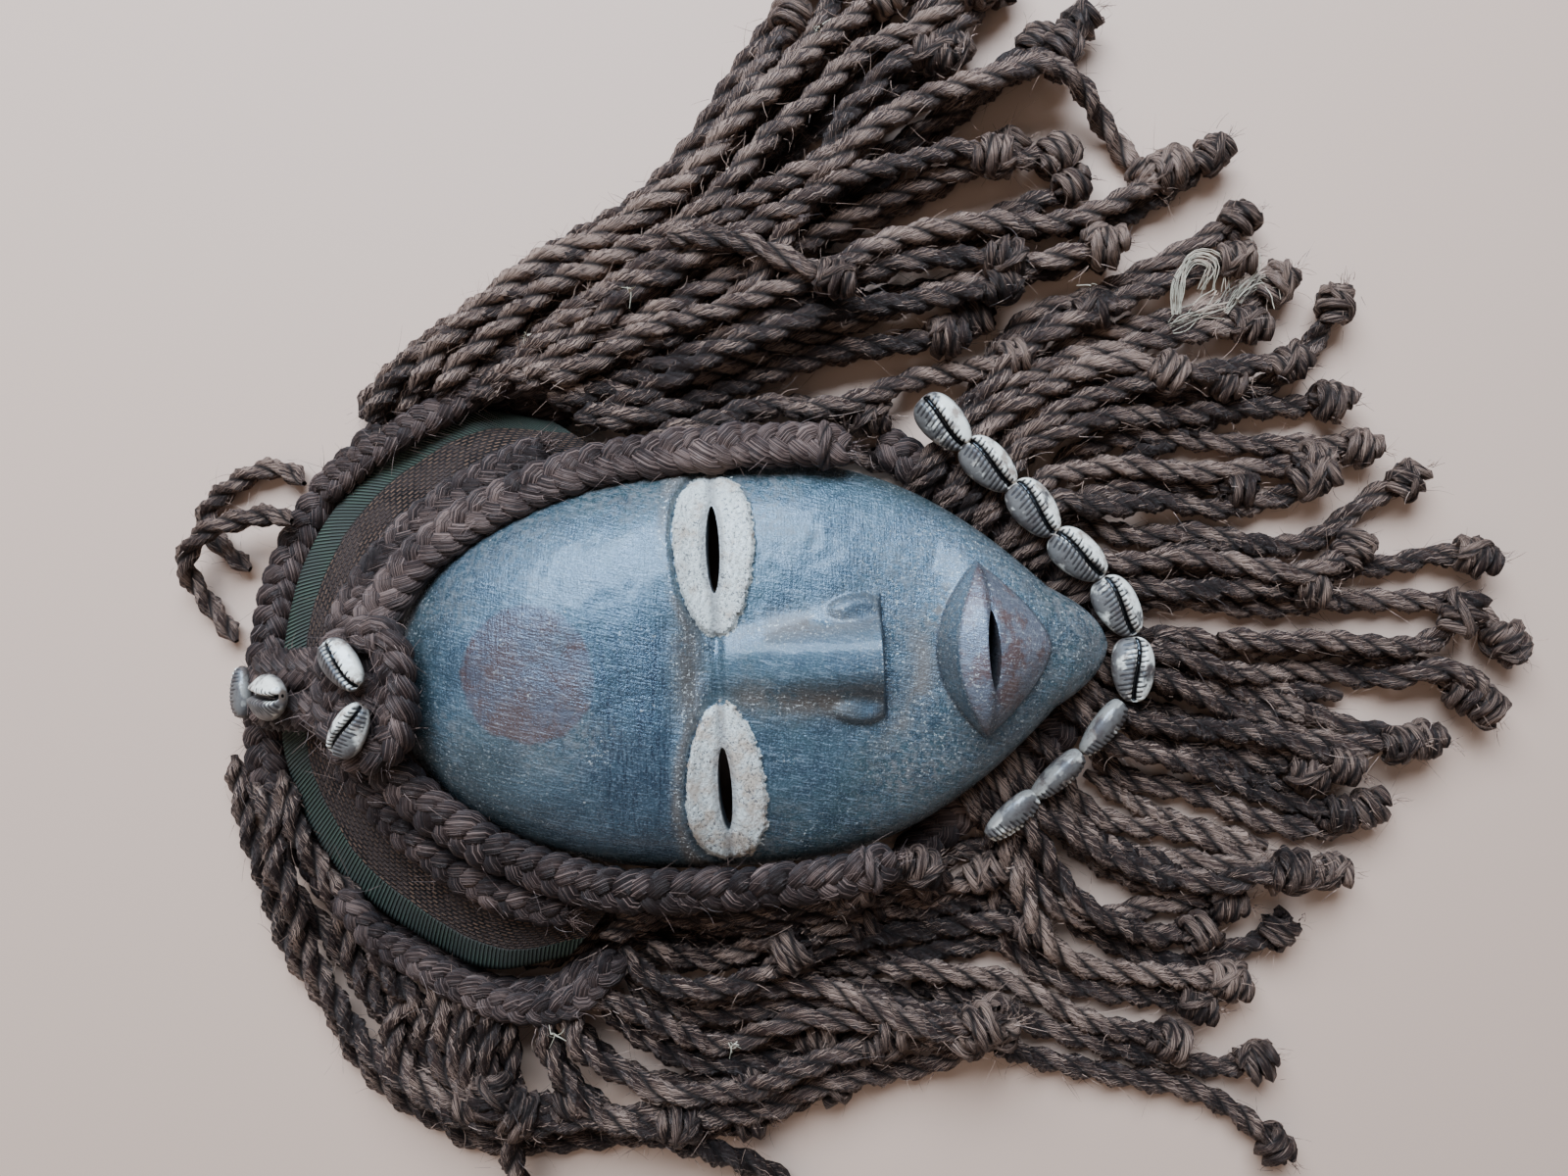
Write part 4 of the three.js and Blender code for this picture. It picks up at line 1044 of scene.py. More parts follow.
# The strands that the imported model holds: a point without a height has the usual one, as lying() gives it
HAIR_STRANDS = [
    [(-0.131, 0.092), (-0.125, 0.102), (-0.112, 0.113), (-0.095, 0.125), (-0.06, 0.147), (-0.03, 0.163),
     (-0.01, 0.182), (0.006, 0.204), (0.022, 0.225), (0.034, 0.24)],
    [(-0.121, 0.088, 0.019), (-0.113, 0.099, 0.017), (-0.098, 0.116, 0.016), (-0.06, 0.141, 0.015),
     (-0.03, 0.153, 0.015), (-0.004, 0.169, 0.014), (0.018, 0.191, 0.007), (0.038, 0.212), (0.06, 0.236)],
    [(-0.098, 0.11, 0.006), (-0.088, 0.116), (-0.074, 0.125), (-0.06, 0.133), (-0.03, 0.147), (0, 0.161),
     (0.028, 0.181), (0.052, 0.202), (0.084, 0.234)],
    [(-0.102, 0.097, 0.019), (-0.094, 0.105, 0.016), (-0.06, 0.126, 0.015), (-0.03, 0.141, 0.015),
     (0, 0.153, 0.014), (0.03, 0.169, 0.008), (0.056, 0.187), (0.07, 0.199), (0.081, 0.208)],
    [(-0.078, 0.109), (-0.06, 0.119), (-0.03, 0.132), (0, 0.142), (0.035, 0.155), (0.065, 0.173),
     (0.092, 0.194), (0.112, 0.206), (0.126, 0.215)],
    [(-0.084, 0.098, 0.019), (-0.074, 0.105, 0.016), (-0.06, 0.112, 0.015), (-0.03, 0.125, 0.015),
     (0, 0.135, 0.0145), (0.036, 0.145, 0.013), (0.066, 0.158, 0.006), (0.085, 0.168), (0.098, 0.173)],
    [(-0.065, 0.105), (-0.05, 0.108), (-0.03, 0.115), (0, 0.129), (0.025, 0.135), (0.058, 0.142),
     (0.1, 0.146), (0.136, 0.148), (0.158, 0.158), (0.17, 0.167, 0.006)],
    [(-0.068, 0.095, 0.019), (-0.058, 0.099, 0.016), (-0.04, 0.104, 0.015), (0, 0.114, 0.013),
     (0.04, 0.123, 0.006), (0.08, 0.128), (0.11, 0.131), (0.128, 0.1355)],
    [(-0.048, 0.094), (-0.03, 0.097), (0, 0.101), (0.04, 0.106), (0.065, 0.11), (0.084, 0.115)],
    [(-0.182, -0.024, 0.006), (-0.181, -0.037), (-0.179, -0.05), (-0.1755, -0.062), (-0.172, -0.074),
     (-0.169, -0.085), (-0.1645, -0.096), (-0.1575, -0.1065), (-0.1515, -0.116), (-0.1475, -0.126),
     (-0.141, -0.136), (-0.134, -0.144), (-0.125, -0.151), (-0.115, -0.157), (-0.104, -0.164),
     (-0.08, -0.166), (-0.05, -0.165), (-0.02, -0.164), (0.006, -0.157), (0.022, -0.149)],
    [(-0.162, -0.051, 0.02), (-0.165, -0.063, 0.018), (-0.1605, -0.076, 0.01), (-0.153, -0.089),
     (-0.144, -0.102), (-0.136, -0.115), (-0.127, -0.127), (-0.115, -0.138), (-0.102, -0.146)],
    [(-0.087, -0.116, 0.019), (-0.088, -0.128, 0.017), (-0.088, -0.142, 0.016), (-0.089, -0.158, 0.017),
     (-0.089, -0.17, 0.016), (-0.088, -0.183, 0.01), (-0.088, -0.193)],
    [(-0.067, -0.124), (-0.058, -0.137), (-0.043, -0.146), (-0.026, -0.148), (-0.01, -0.146)],
    [(-0.057, -0.119), (-0.044, -0.129), (-0.025, -0.133), (-0.006, -0.133), (0.016, -0.132)],
    [(-0.044, -0.101), (-0.025, -0.105), (0, -0.105), (0.025, -0.101), (0.044, -0.105), (0.066, -0.119),
     (0.09, -0.132), (0.115, -0.141), (0.138, -0.148), (0.157, -0.152), (0.169, -0.15)],
    [(-0.046, -0.112), (-0.02, -0.118), (0.01, -0.118), (0.038, -0.118), (0.062, -0.131), (0.09, -0.144),
     (0.118, -0.152), (0.146, -0.159), (0.163, -0.168), (0.174, -0.178)],
    [(-0.076, -0.115, 0.019), (-0.073, -0.13, 0.016), (-0.064, -0.145, 0.016), (-0.045, -0.158, 0.016),
     (-0.022, -0.167, 0.016), (-0.008, -0.175, 0.011), (0.002, -0.184, 0.006), (0.005, -0.192)],
]
BEARD_STRANDS = [
    [(0.072, 0.072), (0.079, 0.081), (0.086, 0.091), (0.092, 0.101), (0.1005, 0.1107), (0.109, 0.1166),
     (0.1195, 0.119), (0.131, 0.122), (0.141, 0.1265), (0.151, 0.131), (0.16, 0.135), (0.168, 0.139),
     (0.178, 0.144)],
    [(0.082, 0.063), (0.092, 0.075), (0.1, 0.087), (0.107, 0.096), (0.116, 0.102), (0.126, 0.106),
     (0.137, 0.109), (0.149, 0.111), (0.16, 0.1123), (0.171, 0.1136), (0.182, 0.116), (0.19, 0.121)],
    [(0.092, 0.056), (0.101, 0.067), (0.108, 0.076), (0.116, 0.082), (0.126, 0.085), (0.137, 0.086),
     (0.149, 0.086), (0.16, 0.0855), (0.171, 0.085), (0.182, 0.0855), (0.193, 0.089), (0.201, 0.095),
     (0.206, 0.102), (0.211, 0.112)],
    [(0.101, 0.048), (0.11, 0.058), (0.117, 0.065), (0.125, 0.069), (0.137, 0.071), (0.148, 0.071),
     (0.159, 0.0695), (0.17, 0.0675), (0.183, 0.066), (0.196, 0.0655), (0.206, 0.065), (0.216, 0.063)],
    [(0.112, 0.04), (0.12, 0.042), (0.127, 0.0395), (0.136, 0.0365), (0.146, 0.036), (0.157, 0.0365),
     (0.168, 0.0345), (0.181, 0.031), (0.192, 0.03), (0.202, 0.032), (0.211, 0.037), (0.218, 0.042),
     (0.224, 0.046), (0.232, 0.05)],
    [(0.1245, 0.028), (0.133, 0.026), (0.145, 0.025), (0.157, 0.0255), (0.168, 0.0235), (0.181, 0.0205),
     (0.192, 0.0195), (0.202, 0.0205), (0.212, 0.021), (0.222, 0.021), (0.233, 0.022), (0.243, 0.024),
     (0.254, 0.023)],
    [(0.135, 0.013), (0.149, 0.013), (0.162, 0.012), (0.174, 0.0095), (0.187, 0.0085), (0.2, 0.0095),
     (0.2125, 0.01), (0.225, 0.009), (0.238, 0.008), (0.25, 0.006), (0.259, 0.002), (0.265, -0.006)],
    [(0.138, -0.001), (0.151, 0.0005), (0.164, -0.003), (0.176, -0.0055), (0.189, -0.005), (0.202, -0.006),
     (0.214, -0.0085), (0.227, -0.0115), (0.239, -0.016), (0.248, -0.023)],
    [(0.133, -0.014), (0.142, -0.0125), (0.152, -0.0135), (0.162, -0.016), (0.172, -0.02), (0.182, -0.0225),
     (0.192, -0.026), (0.201, -0.031), (0.21, -0.035), (0.221, -0.0375), (0.233, -0.04)],
    [(0.119, -0.032), (0.123, -0.041), (0.13, -0.048), (0.138, -0.0515), (0.147, -0.053), (0.156, -0.056),
     (0.1665, -0.061), (0.177, -0.066), (0.189, -0.069), (0.2, -0.07), (0.207, -0.068), (0.213, -0.064)],
    [(0.106, -0.043), (0.112, -0.054), (0.121, -0.062), (0.133, -0.066), (0.145, -0.0675), (0.157, -0.071),
     (0.168, -0.076), (0.179, -0.08), (0.189, -0.083), (0.198, -0.084)],
    [(0.094, -0.054), (0.094, -0.066), (0.097, -0.078), (0.103, -0.09), (0.11, -0.098), (0.119, -0.104),
     (0.128, -0.109), (0.139, -0.114), (0.15, -0.115), (0.161, -0.113), (0.17, -0.11), (0.179, -0.105)],
    [(0.082, -0.062), (0.082, -0.074), (0.082, -0.086), (0.084, -0.097), (0.088, -0.106), (0.096, -0.114),
     (0.106, -0.1195), (0.117, -0.123), (0.13, -0.125), (0.142, -0.127), (0.149, -0.128)],
]
TIE_LOOPS = [
    [(-0.152, 0.07), (-0.158, 0.075), (-0.167, 0.076), (-0.178, 0.071), (-0.187, 0.063), (-0.187, 0.055),
     (-0.18, 0.047), (-0.173, 0.041, 0.006)],
    [(-0.152, 0.056, 0.019), (-0.16, 0.059, 0.016), (-0.171, 0.058, 0.016), (-0.184, 0.054, 0.016),
     (-0.193, 0.044, 0.012), (-0.191, 0.034, 0.006), (-0.185, 0.025), (-0.179, 0.016, 0.006)],
]
# The other strands, which lie on the pile, so their points have no heights
EXTRA_HAIR = [
    [(-0.118, 0.092), (-0.108, 0.104), (-0.09, 0.12), (-0.06, 0.137), (-0.03, 0.151), (-0.008, 0.168),
     (0.014, 0.192), (0.034, 0.216), (0.046, 0.236)],
    [(-0.108, 0.098), (-0.096, 0.112), (-0.07, 0.128), (-0.04, 0.141), (-0.01, 0.157), (0.02, 0.181),
     (0.046, 0.207), (0.068, 0.231)],
    [(-0.1, 0.1), (-0.088, 0.11), (-0.06, 0.122), (-0.025, 0.14), (0.01, 0.156), (0.04, 0.176),
     (0.066, 0.2), (0.098, 0.228)],
    [(-0.092, 0.102), (-0.08, 0.11), (-0.05, 0.121), (-0.015, 0.137), (0.02, 0.152), (0.056, 0.172),
     (0.088, 0.192), (0.112, 0.208)],
    [(-0.072, 0.099), (-0.05, 0.101), (-0.02, 0.106), (0.01, 0.119), (0.05, 0.131), (0.085, 0.147),
     (0.12, 0.157)],
    [(-0.066, 0.097), (-0.045, 0.098), (-0.015, 0.101), (0.015, 0.109), (0.055, 0.121), (0.095, 0.132),
     (0.131, 0.135)],
    [(-0.054, 0.088), (-0.03, 0.084), (0, 0.086), (0.025, 0.088), (0.045, 0.084)],
    [(-0.062, 0.093), (-0.04, 0.098), (-0.01, 0.108), (0.02, 0.122), (0.05, 0.134), (0.076, 0.138),
     (0.096, 0.138)],
    [(-0.128, 0.09), (-0.122, 0.099), (-0.108, 0.112), (-0.088, 0.124), (-0.058, 0.143), (-0.028, 0.158),
     (-0.004, 0.176), (0.012, 0.2), (0.026, 0.222)],
    [(-0.086, 0.103), (-0.07, 0.109), (-0.04, 0.117), (-0.008, 0.13), (0.025, 0.144), (0.06, 0.16),
     (0.09, 0.169), (0.115, 0.17)],
    [(-0.112, 0.1), (-0.101, 0.116), (-0.092, 0.122), (-0.081, 0.131), (-0.074, 0.137), (-0.061, 0.145),
     (-0.048, 0.149), (-0.036, 0.155), (-0.025, 0.163), (-0.014, 0.169), (-0.003, 0.179), (0.005, 0.188),
     (0.014, 0.195), (0.025, 0.204), (0.036, 0.213), (0.047, 0.221), (0.058, 0.229)],
    [(-0.104, 0.099), (-0.09, 0.113), (-0.072, 0.127), (-0.061, 0.135), (-0.047, 0.14), (-0.033, 0.146),
     (-0.02, 0.15), (-0.009, 0.157), (0, 0.165), (0.009, 0.175), (0.019, 0.185), (0.03, 0.193),
     (0.039, 0.201), (0.048, 0.209), (0.059, 0.214), (0.07, 0.217), (0.081, 0.223), (0.092, 0.229)],
    [(-0.092, 0.096), (-0.075, 0.107), (-0.066, 0.116), (-0.053, 0.126), (-0.04, 0.132), (-0.028, 0.14),
     (-0.015, 0.148), (-0.004, 0.152), (0.008, 0.158), (0.019, 0.163), (0.03, 0.169), (0.039, 0.177),
     (0.044, 0.188), (0.053, 0.196), (0.062, 0.206), (0.074, 0.208)],
    [(-0.085, 0.1), (-0.07, 0.112), (-0.05, 0.127), (-0.03, 0.138), (-0.012, 0.148), (0, 0.156),
     (0.012, 0.163), (0.023, 0.168), (0.034, 0.172), (0.045, 0.177), (0.056, 0.185), (0.067, 0.191),
     (0.081, 0.195), (0.095, 0.2), (0.108, 0.204), (0.118, 0.208)],
    [(-0.08, 0.103), (-0.062, 0.106), (-0.03, 0.113), (0.002, 0.126), (0.02, 0.147), (0.034, 0.166),
     (0.05, 0.182), (0.071, 0.191), (0.094, 0.199), (0.114, 0.204), (0.127, 0.196), (0.136, 0.179),
     (0.147, 0.162)],
    [(-0.075, 0.099), (-0.06, 0.11), (-0.044, 0.122), (-0.032, 0.132), (-0.019, 0.137), (-0.008, 0.145),
     (0.005, 0.15), (0.017, 0.156), (0.03, 0.161), (0.042, 0.167), (0.055, 0.169), (0.069, 0.171),
     (0.083, 0.175), (0.094, 0.173)],
    [(-0.067, 0.102), (-0.052, 0.105), (-0.038, 0.111), (-0.025, 0.118), (-0.011, 0.122), (0.003, 0.126),
     (0.018, 0.13), (0.034, 0.134), (0.046, 0.14), (0.061, 0.145), (0.075, 0.147), (0.093, 0.148),
     (0.112, 0.146), (0.128, 0.149), (0.141, 0.155), (0.155, 0.164)],
    [(-0.056, 0.088), (-0.046, 0.089), (-0.032, 0.094), (-0.019, 0.1), (-0.006, 0.107), (0.008, 0.112),
     (0.024, 0.117), (0.04, 0.121), (0.058, 0.123), (0.075, 0.124), (0.094, 0.126)],
    [(-0.048, 0.086), (-0.032, 0.088), (-0.014, 0.092), (0.004, 0.097), (0.021, 0.103), (0.039, 0.108),
     (0.057, 0.109), (0.074, 0.111)],
    [(-0.03, 0.08), (-0.008, 0.083), (0.005, 0.087), (0.017, 0.088), (0.029, 0.084), (0.041, 0.082)],
    [(0.018, 0.086), (0.04, 0.088), (0.058, 0.094), (0.07, 0.097), (0.085, 0.098), (0.097, 0.101)],
    [(-0.02, 0.15), (0.004, 0.147), (0.016, 0.142), (0.027, 0.137), (0.036, 0.133)],
]
EXTRA_LOWER = [
    [(-0.05, -0.094), (-0.03, -0.096), (-0.008, -0.097), (0.012, -0.094), (0.034, -0.091)],
    [(-0.048, -0.108), (-0.03, -0.12), (-0.01, -0.122), (0.012, -0.12), (0.036, -0.12), (0.058, -0.126),
     (0.078, -0.13)],
    [(-0.06, -0.112), (-0.045, -0.13), (-0.025, -0.141), (0, -0.142), (0.022, -0.138)],
    [(0.005, -0.105), (0.03, -0.1), (0.046, -0.099), (0.062, -0.098), (0.078, -0.096), (0.092, -0.098)],
    [(-0.165, -0.03), (-0.16, -0.053), (-0.153, -0.065), (-0.148, -0.077), (-0.146, -0.088), (-0.143, -0.1),
     (-0.137, -0.111), (-0.129, -0.119), (-0.126, -0.13), (-0.12, -0.14), (-0.112, -0.145), (-0.104, -0.15),
     (-0.09, -0.152), (-0.072, -0.153)],
    [(-0.13, -0.088), (-0.126, -0.1), (-0.128, -0.112), (-0.131, -0.124), (-0.127, -0.136),
     (-0.118, -0.144), (-0.106, -0.148)],
    [(-0.176, -0.034), (-0.17, -0.045), (-0.17, -0.06), (-0.164, -0.077), (-0.16, -0.092), (-0.152, -0.107),
     (-0.144, -0.121), (-0.135, -0.134), (-0.122, -0.146), (-0.108, -0.156), (-0.09, -0.161),
     (-0.07, -0.159), (-0.05, -0.158), (-0.03, -0.158), (-0.01, -0.16)],
    [(-0.15, -0.066), (-0.141, -0.08), (-0.136, -0.092), (-0.131, -0.104), (-0.122, -0.112),
     (-0.12, -0.124), (-0.113, -0.137), (-0.104, -0.145), (-0.093, -0.149)],
    [(-0.118, -0.098), (-0.115, -0.108), (-0.114, -0.12), (-0.111, -0.132), (-0.107, -0.142),
     (-0.099, -0.15), (-0.092, -0.156)],
    [(-0.106, -0.106), (-0.105, -0.117), (-0.105, -0.129), (-0.104, -0.139), (-0.098, -0.147),
     (-0.089, -0.151)],
    [(-0.096, -0.108), (-0.095, -0.12), (-0.097, -0.133), (-0.096, -0.145)],
    [(-0.08, -0.112), (-0.077, -0.123), (-0.076, -0.133), (-0.072, -0.142), (-0.066, -0.15),
     (-0.06, -0.157), (-0.048, -0.161), (-0.034, -0.16)],
    [(-0.04, -0.098), (-0.03, -0.102), (-0.014, -0.104), (0.002, -0.099), (0.017, -0.098), (0.029, -0.093),
     (0.04, -0.09), (0.054, -0.088), (0.066, -0.084), (0.078, -0.08)],
    [(-0.025, -0.091), (0.001, -0.093), (0.015, -0.09), (0.029, -0.087), (0.044, -0.084), (0.058, -0.082)],
    [(0.04, -0.11), (0.056, -0.111), (0.07, -0.114), (0.082, -0.117), (0.094, -0.123), (0.108, -0.13),
     (0.122, -0.136), (0.138, -0.14)],
    [(-0.03, -0.16), (-0.014, -0.158), (0.001, -0.156), (0.014, -0.15), (0.028, -0.148), (0.042, -0.147),
     (0.056, -0.145), (0.07, -0.139), (0.079, -0.134)],
    [(0, -0.146), (0.011, -0.143), (0.021, -0.139), (0.034, -0.136), (0.046, -0.137), (0.058, -0.138),
     (0.07, -0.136)],
    [(-0.069, -0.11), (-0.068, -0.12), (-0.068, -0.129), (-0.062, -0.137), (-0.051, -0.143),
     (-0.041, -0.149), (-0.029, -0.152), (-0.017, -0.151), (-0.007, -0.151), (0.002, -0.147),
     (0.012, -0.144), (0.024, -0.14), (0.038, -0.137)],
    [(-0.062, -0.106), (-0.059, -0.114), (-0.05, -0.118), (-0.04, -0.124), (-0.029, -0.129),
     (-0.019, -0.133), (-0.009, -0.132), (0.002, -0.129), (0.013, -0.127), (0.028, -0.128), (0.042, -0.13)],
    [(-0.03, -0.116), (-0.015, -0.117), (0, -0.116), (0.016, -0.116), (0.028, -0.12), (0.038, -0.125),
     (0.05, -0.131), (0.062, -0.134), (0.074, -0.133)],
    [(-0.049, -0.098), (-0.041, -0.107), (-0.032, -0.111), (-0.022, -0.112), (-0.011, -0.112), (0, -0.109),
     (0.008, -0.104)],
    [(-0.056, -0.094), (-0.036, -0.0885), (-0.012, -0.0885), (0.01, -0.086), (0.03, -0.083)],
    [(-0.05, -0.088), (-0.03, -0.083), (0, -0.083), (0.03, -0.079), (0.055, -0.076)],
]
EXTRA_BEARD = [
    [(0.076, 0.074), (0.09, 0.092), (0.106, 0.108), (0.126, 0.116)],
    [(0.088, 0.06), (0.104, 0.078), (0.124, 0.09), (0.146, 0.091), (0.17, 0.089)],
    [(0.108, 0.044), (0.126, 0.052), (0.148, 0.054), (0.172, 0.052)],
    [(0.124, 0.024), (0.146, 0.018), (0.17, 0.016), (0.196, 0.015)],
    [(0.128, -0.026), (0.146, -0.038), (0.168, -0.044), (0.19, -0.05)],
    [(0.1, -0.05), (0.11, -0.062), (0.122, -0.072), (0.135, -0.077), (0.15, -0.079), (0.165, -0.082),
     (0.18, -0.084)],
    [(0.088, -0.06), (0.094, -0.078), (0.104, -0.092), (0.116, -0.098), (0.13, -0.096), (0.146, -0.093),
     (0.16, -0.093)],
    [(0.086, -0.064), (0.09, -0.084), (0.098, -0.102), (0.11, -0.112), (0.128, -0.117), (0.146, -0.119),
     (0.16, -0.12)],
    [(0.079, 0.074), (0.088, 0.085), (0.096, 0.097), (0.104, 0.104), (0.115, 0.11), (0.125, 0.114),
     (0.135, 0.117), (0.145, 0.121), (0.155, 0.124), (0.165, 0.127), (0.175, 0.13)],
    [(0.084, 0.068), (0.09, 0.083), (0.1, 0.092), (0.11, 0.097), (0.121, 0.101), (0.133, 0.102),
     (0.144, 0.104), (0.155, 0.105), (0.167, 0.107), (0.179, 0.108)],
    [(0.085, 0.066), (0.09, 0.078), (0.101, 0.085), (0.111, 0.09), (0.121, 0.095), (0.131, 0.097),
     (0.141, 0.097), (0.151, 0.094)],
    [(0.095, 0.06), (0.104, 0.074), (0.118, 0.083), (0.133, 0.087), (0.143, 0.09), (0.153, 0.093),
     (0.163, 0.093), (0.173, 0.094), (0.183, 0.095), (0.193, 0.095)],
    [(0.095, 0.058), (0.1, 0.07), (0.111, 0.074), (0.123, 0.078), (0.134, 0.079), (0.145, 0.078),
     (0.157, 0.077), (0.169, 0.078), (0.182, 0.078), (0.193, 0.078), (0.205, 0.079)],
    [(0.101, 0.05), (0.109, 0.058), (0.12, 0.059), (0.132, 0.06), (0.144, 0.059), (0.157, 0.057),
     (0.17, 0.057), (0.184, 0.057), (0.198, 0.057)],
    [(0.106, 0.046), (0.113, 0.05), (0.124, 0.047), (0.135, 0.047), (0.148, 0.048), (0.161, 0.045),
     (0.172, 0.044), (0.183, 0.046), (0.193, 0.049), (0.199, 0.053)],
    [(0.12, 0.031), (0.13, 0.027), (0.143, 0.027), (0.155, 0.028), (0.168, 0.025), (0.181, 0.022),
     (0.193, 0.019), (0.205, 0.021), (0.213, 0.026)],
    [(0.134, -0.004), (0.15, -0.006), (0.166, -0.012), (0.179, -0.015), (0.191, -0.015), (0.204, -0.017),
     (0.217, -0.019), (0.229, -0.019), (0.242, -0.017), (0.252, -0.02), (0.256, -0.028)],
    [(0.165, 0), (0.18, -0.002), (0.2, -0.002), (0.218, -0.006), (0.232, -0.008), (0.243, -0.005),
     (0.25, 0.001)],
    [(0.131, -0.015), (0.14, -0.013), (0.149, -0.017), (0.158, -0.022), (0.168, -0.027), (0.179, -0.03),
     (0.189, -0.035), (0.199, -0.038), (0.211, -0.04), (0.225, -0.04)],
    [(0.126, -0.022), (0.132, -0.027), (0.144, -0.031), (0.157, -0.033), (0.17, -0.034), (0.184, -0.037),
     (0.195, -0.041), (0.205, -0.047)],
    [(0.12, -0.03), (0.128, -0.037), (0.141, -0.041), (0.154, -0.046), (0.167, -0.052), (0.177, -0.056),
     (0.19, -0.06), (0.202, -0.063)],
    [(0.094, -0.05), (0.098, -0.058), (0.108, -0.065), (0.118, -0.073), (0.129, -0.079), (0.139, -0.084),
     (0.151, -0.086), (0.162, -0.088), (0.174, -0.086), (0.185, -0.085)],
    [(0.09, -0.056), (0.099, -0.068), (0.104, -0.077), (0.11, -0.087), (0.117, -0.095), (0.127, -0.101),
     (0.139, -0.104), (0.15, -0.101)],
]
# Strands at the bottom of the pile
UNDER_STRANDS = [
    [(-0.084, -0.104), (-0.066, -0.098), (-0.05, -0.088), (-0.034, -0.078)],
    [(-0.07, -0.108), (-0.054, -0.099), (-0.038, -0.089), (-0.016, -0.082)],
    [(-0.06, -0.088), (-0.048, -0.082), (-0.03, -0.073)],
    [(0.133, -0.013), (0.158, -0.021), (0.187, -0.028), (0.212, -0.034)],
    [(0.137, -0.002), (0.16, -0.014), (0.184, -0.019), (0.209, -0.024)],
    [(0.128, -0.028), (0.149, -0.038), (0.172, -0.049), (0.19, -0.056)],
    [(0.132, -0.021), (0.154, -0.03), (0.179, -0.04), (0.198, -0.045)],
    [(0.117, -0.046), (0.139, -0.061), (0.162, -0.07), (0.18, -0.075)],
    [(0.104, -0.064), (0.121, -0.079), (0.139, -0.087), (0.155, -0.09)],
    [(0.108, -0.059), (0.126, -0.073), (0.146, -0.08), (0.165, -0.085)],
    [(0.096, -0.083), (0.115, -0.097), (0.136, -0.104), (0.152, -0.107)],
    [(0.014, -0.108), (0.04, -0.11), (0.062, -0.106), (0.087, -0.104), (0.105, -0.109)],
    [(0.025, -0.092), (0.053, -0.092), (0.077, -0.09), (0.099, -0.096)],
    [(0.035, -0.1), (0.059, -0.098), (0.08, -0.097), (0.097, -0.102)],
    [(0.059, -0.076), (0.073, -0.071), (0.086, -0.075), (0.098, -0.088)],
    [(0.145, 0.031), (0.169, 0.032), (0.195, 0.029)],
    [(0.141, 0.018), (0.165, 0.017), (0.196, 0.012), (0.22, 0.007)],
    [(0.126, 0.057), (0.147, 0.067), (0.175, 0.078), (0.195, 0.081)],
    [(0.052, -0.118), (0.075, -0.125), (0.096, -0.131)],
    [(0.028, 0.0725), (0.042, 0.07), (0.055, 0.0655), (0.066, 0.06)],
]
# Thin plaits over the strands' roots
ROOT_PLAITS = [
    ("upper", [(-0.053, 0.093), (-0.068, 0.101), (-0.088, 0.100), (-0.108, 0.092), (-0.128, 0.080),
               (-0.146, 0.066)]),
    ("lower", [(-0.147, -0.074), (-0.134, -0.090), (-0.120, -0.100), (-0.103, -0.112), (-0.086, -0.1185),
               (-0.068, -0.117), (-0.054, -0.106), (-0.050, -0.101)]),
]
# Each pile on the strands: its routes, how high its first strand may lie, how much higher each next one may,
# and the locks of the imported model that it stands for
PILES = [
    ("hair_upper", EXTRA_HAIR, 0.022, 0.00060, [f"hair_lock_{i}" for i in range(1, 5)]),
    ("hair_lower", EXTRA_LOWER, 0.017, 0.00055, [f"hair_lock_{i}" for i in range(5, 8)]),
    ("beard", EXTRA_BEARD, 0.011, 0.00045, []),
]
# Nodes that aren't under the pile: its own strands
LOOSE = ("hair_strand", "beard_strand", "hair_lock", "tie_loop")
BAND_INNER = [
    (-0.044, 0.073), (-0.068, 0.065), (-0.092, 0.053), (-0.11, 0.038), (-0.123, 0.02), (-0.128, 0),
    (-0.123, -0.02), (-0.11, -0.038), (-0.092, -0.053), (-0.068, -0.065), (-0.044, -0.073),
]
BAND_OUTER = [
    (-0.062, 0.086), (-0.09, 0.091), (-0.116, 0.08), (-0.138, 0.061), (-0.153, 0.035), (-0.16, 0.004),
    (-0.159, -0.03), (-0.145, -0.063), (-0.121, -0.086), (-0.094, -0.101), (-0.066, -0.098),
]
UPPER_BROW_PLAIT = [
    (-0.1185, 0.0185, 0.0445), (-0.1105, 0.031, 0.043), (-0.0965, 0.045, 0.0415), (-0.074, 0.0575, 0.041),
    (-0.0465, 0.067, 0.0395), (-0.016, 0.0705, 0.038), (0.015, 0.0715, 0.037), (0.038, 0.069, 0.036),
]
LOWER_BROW_PLAIT = [
    (-0.118, -0.0225, 0.0445), (-0.1095, -0.0335, 0.043), (-0.097, -0.0455, 0.042),
    (-0.081, -0.056, 0.0415), (-0.063, -0.0645, 0.0405), (-0.043, -0.0705, 0.0395),
    (-0.017, -0.072, 0.038), (0.008, -0.072, 0.037), (0.03, -0.07, 0.0365), (0.046, -0.066, 0.036),
]
EDGE_BRAID = [
    (-0.057, 0.089), (-0.076, 0.097), (-0.095, 0.0995), (-0.112, 0.092), (-0.128, 0.08), (-0.143, 0.066),
    (-0.155, 0.049), (-0.164, 0.026), (-0.169, 0), (-0.17, -0.022), (-0.166, -0.042), (-0.156, -0.06),
    (-0.142, -0.078), (-0.127, -0.093), (-0.112, -0.104), (-0.098, -0.112), (-0.084, -0.115),
    (-0.072, -0.114), (-0.062, -0.108), (-0.054, -0.101),
]
BEARD_BRAID = [
    (0.05, 0.074), (0.064, 0.064), (0.078, 0.053), (0.092, 0.043), (0.106, 0.032), (0.12, 0.0185),
    (0.131, 0.001), (0.121, -0.017), (0.106, -0.031), (0.092, -0.042), (0.078, -0.052), (0.064, -0.063),
    (0.05, -0.074),
]
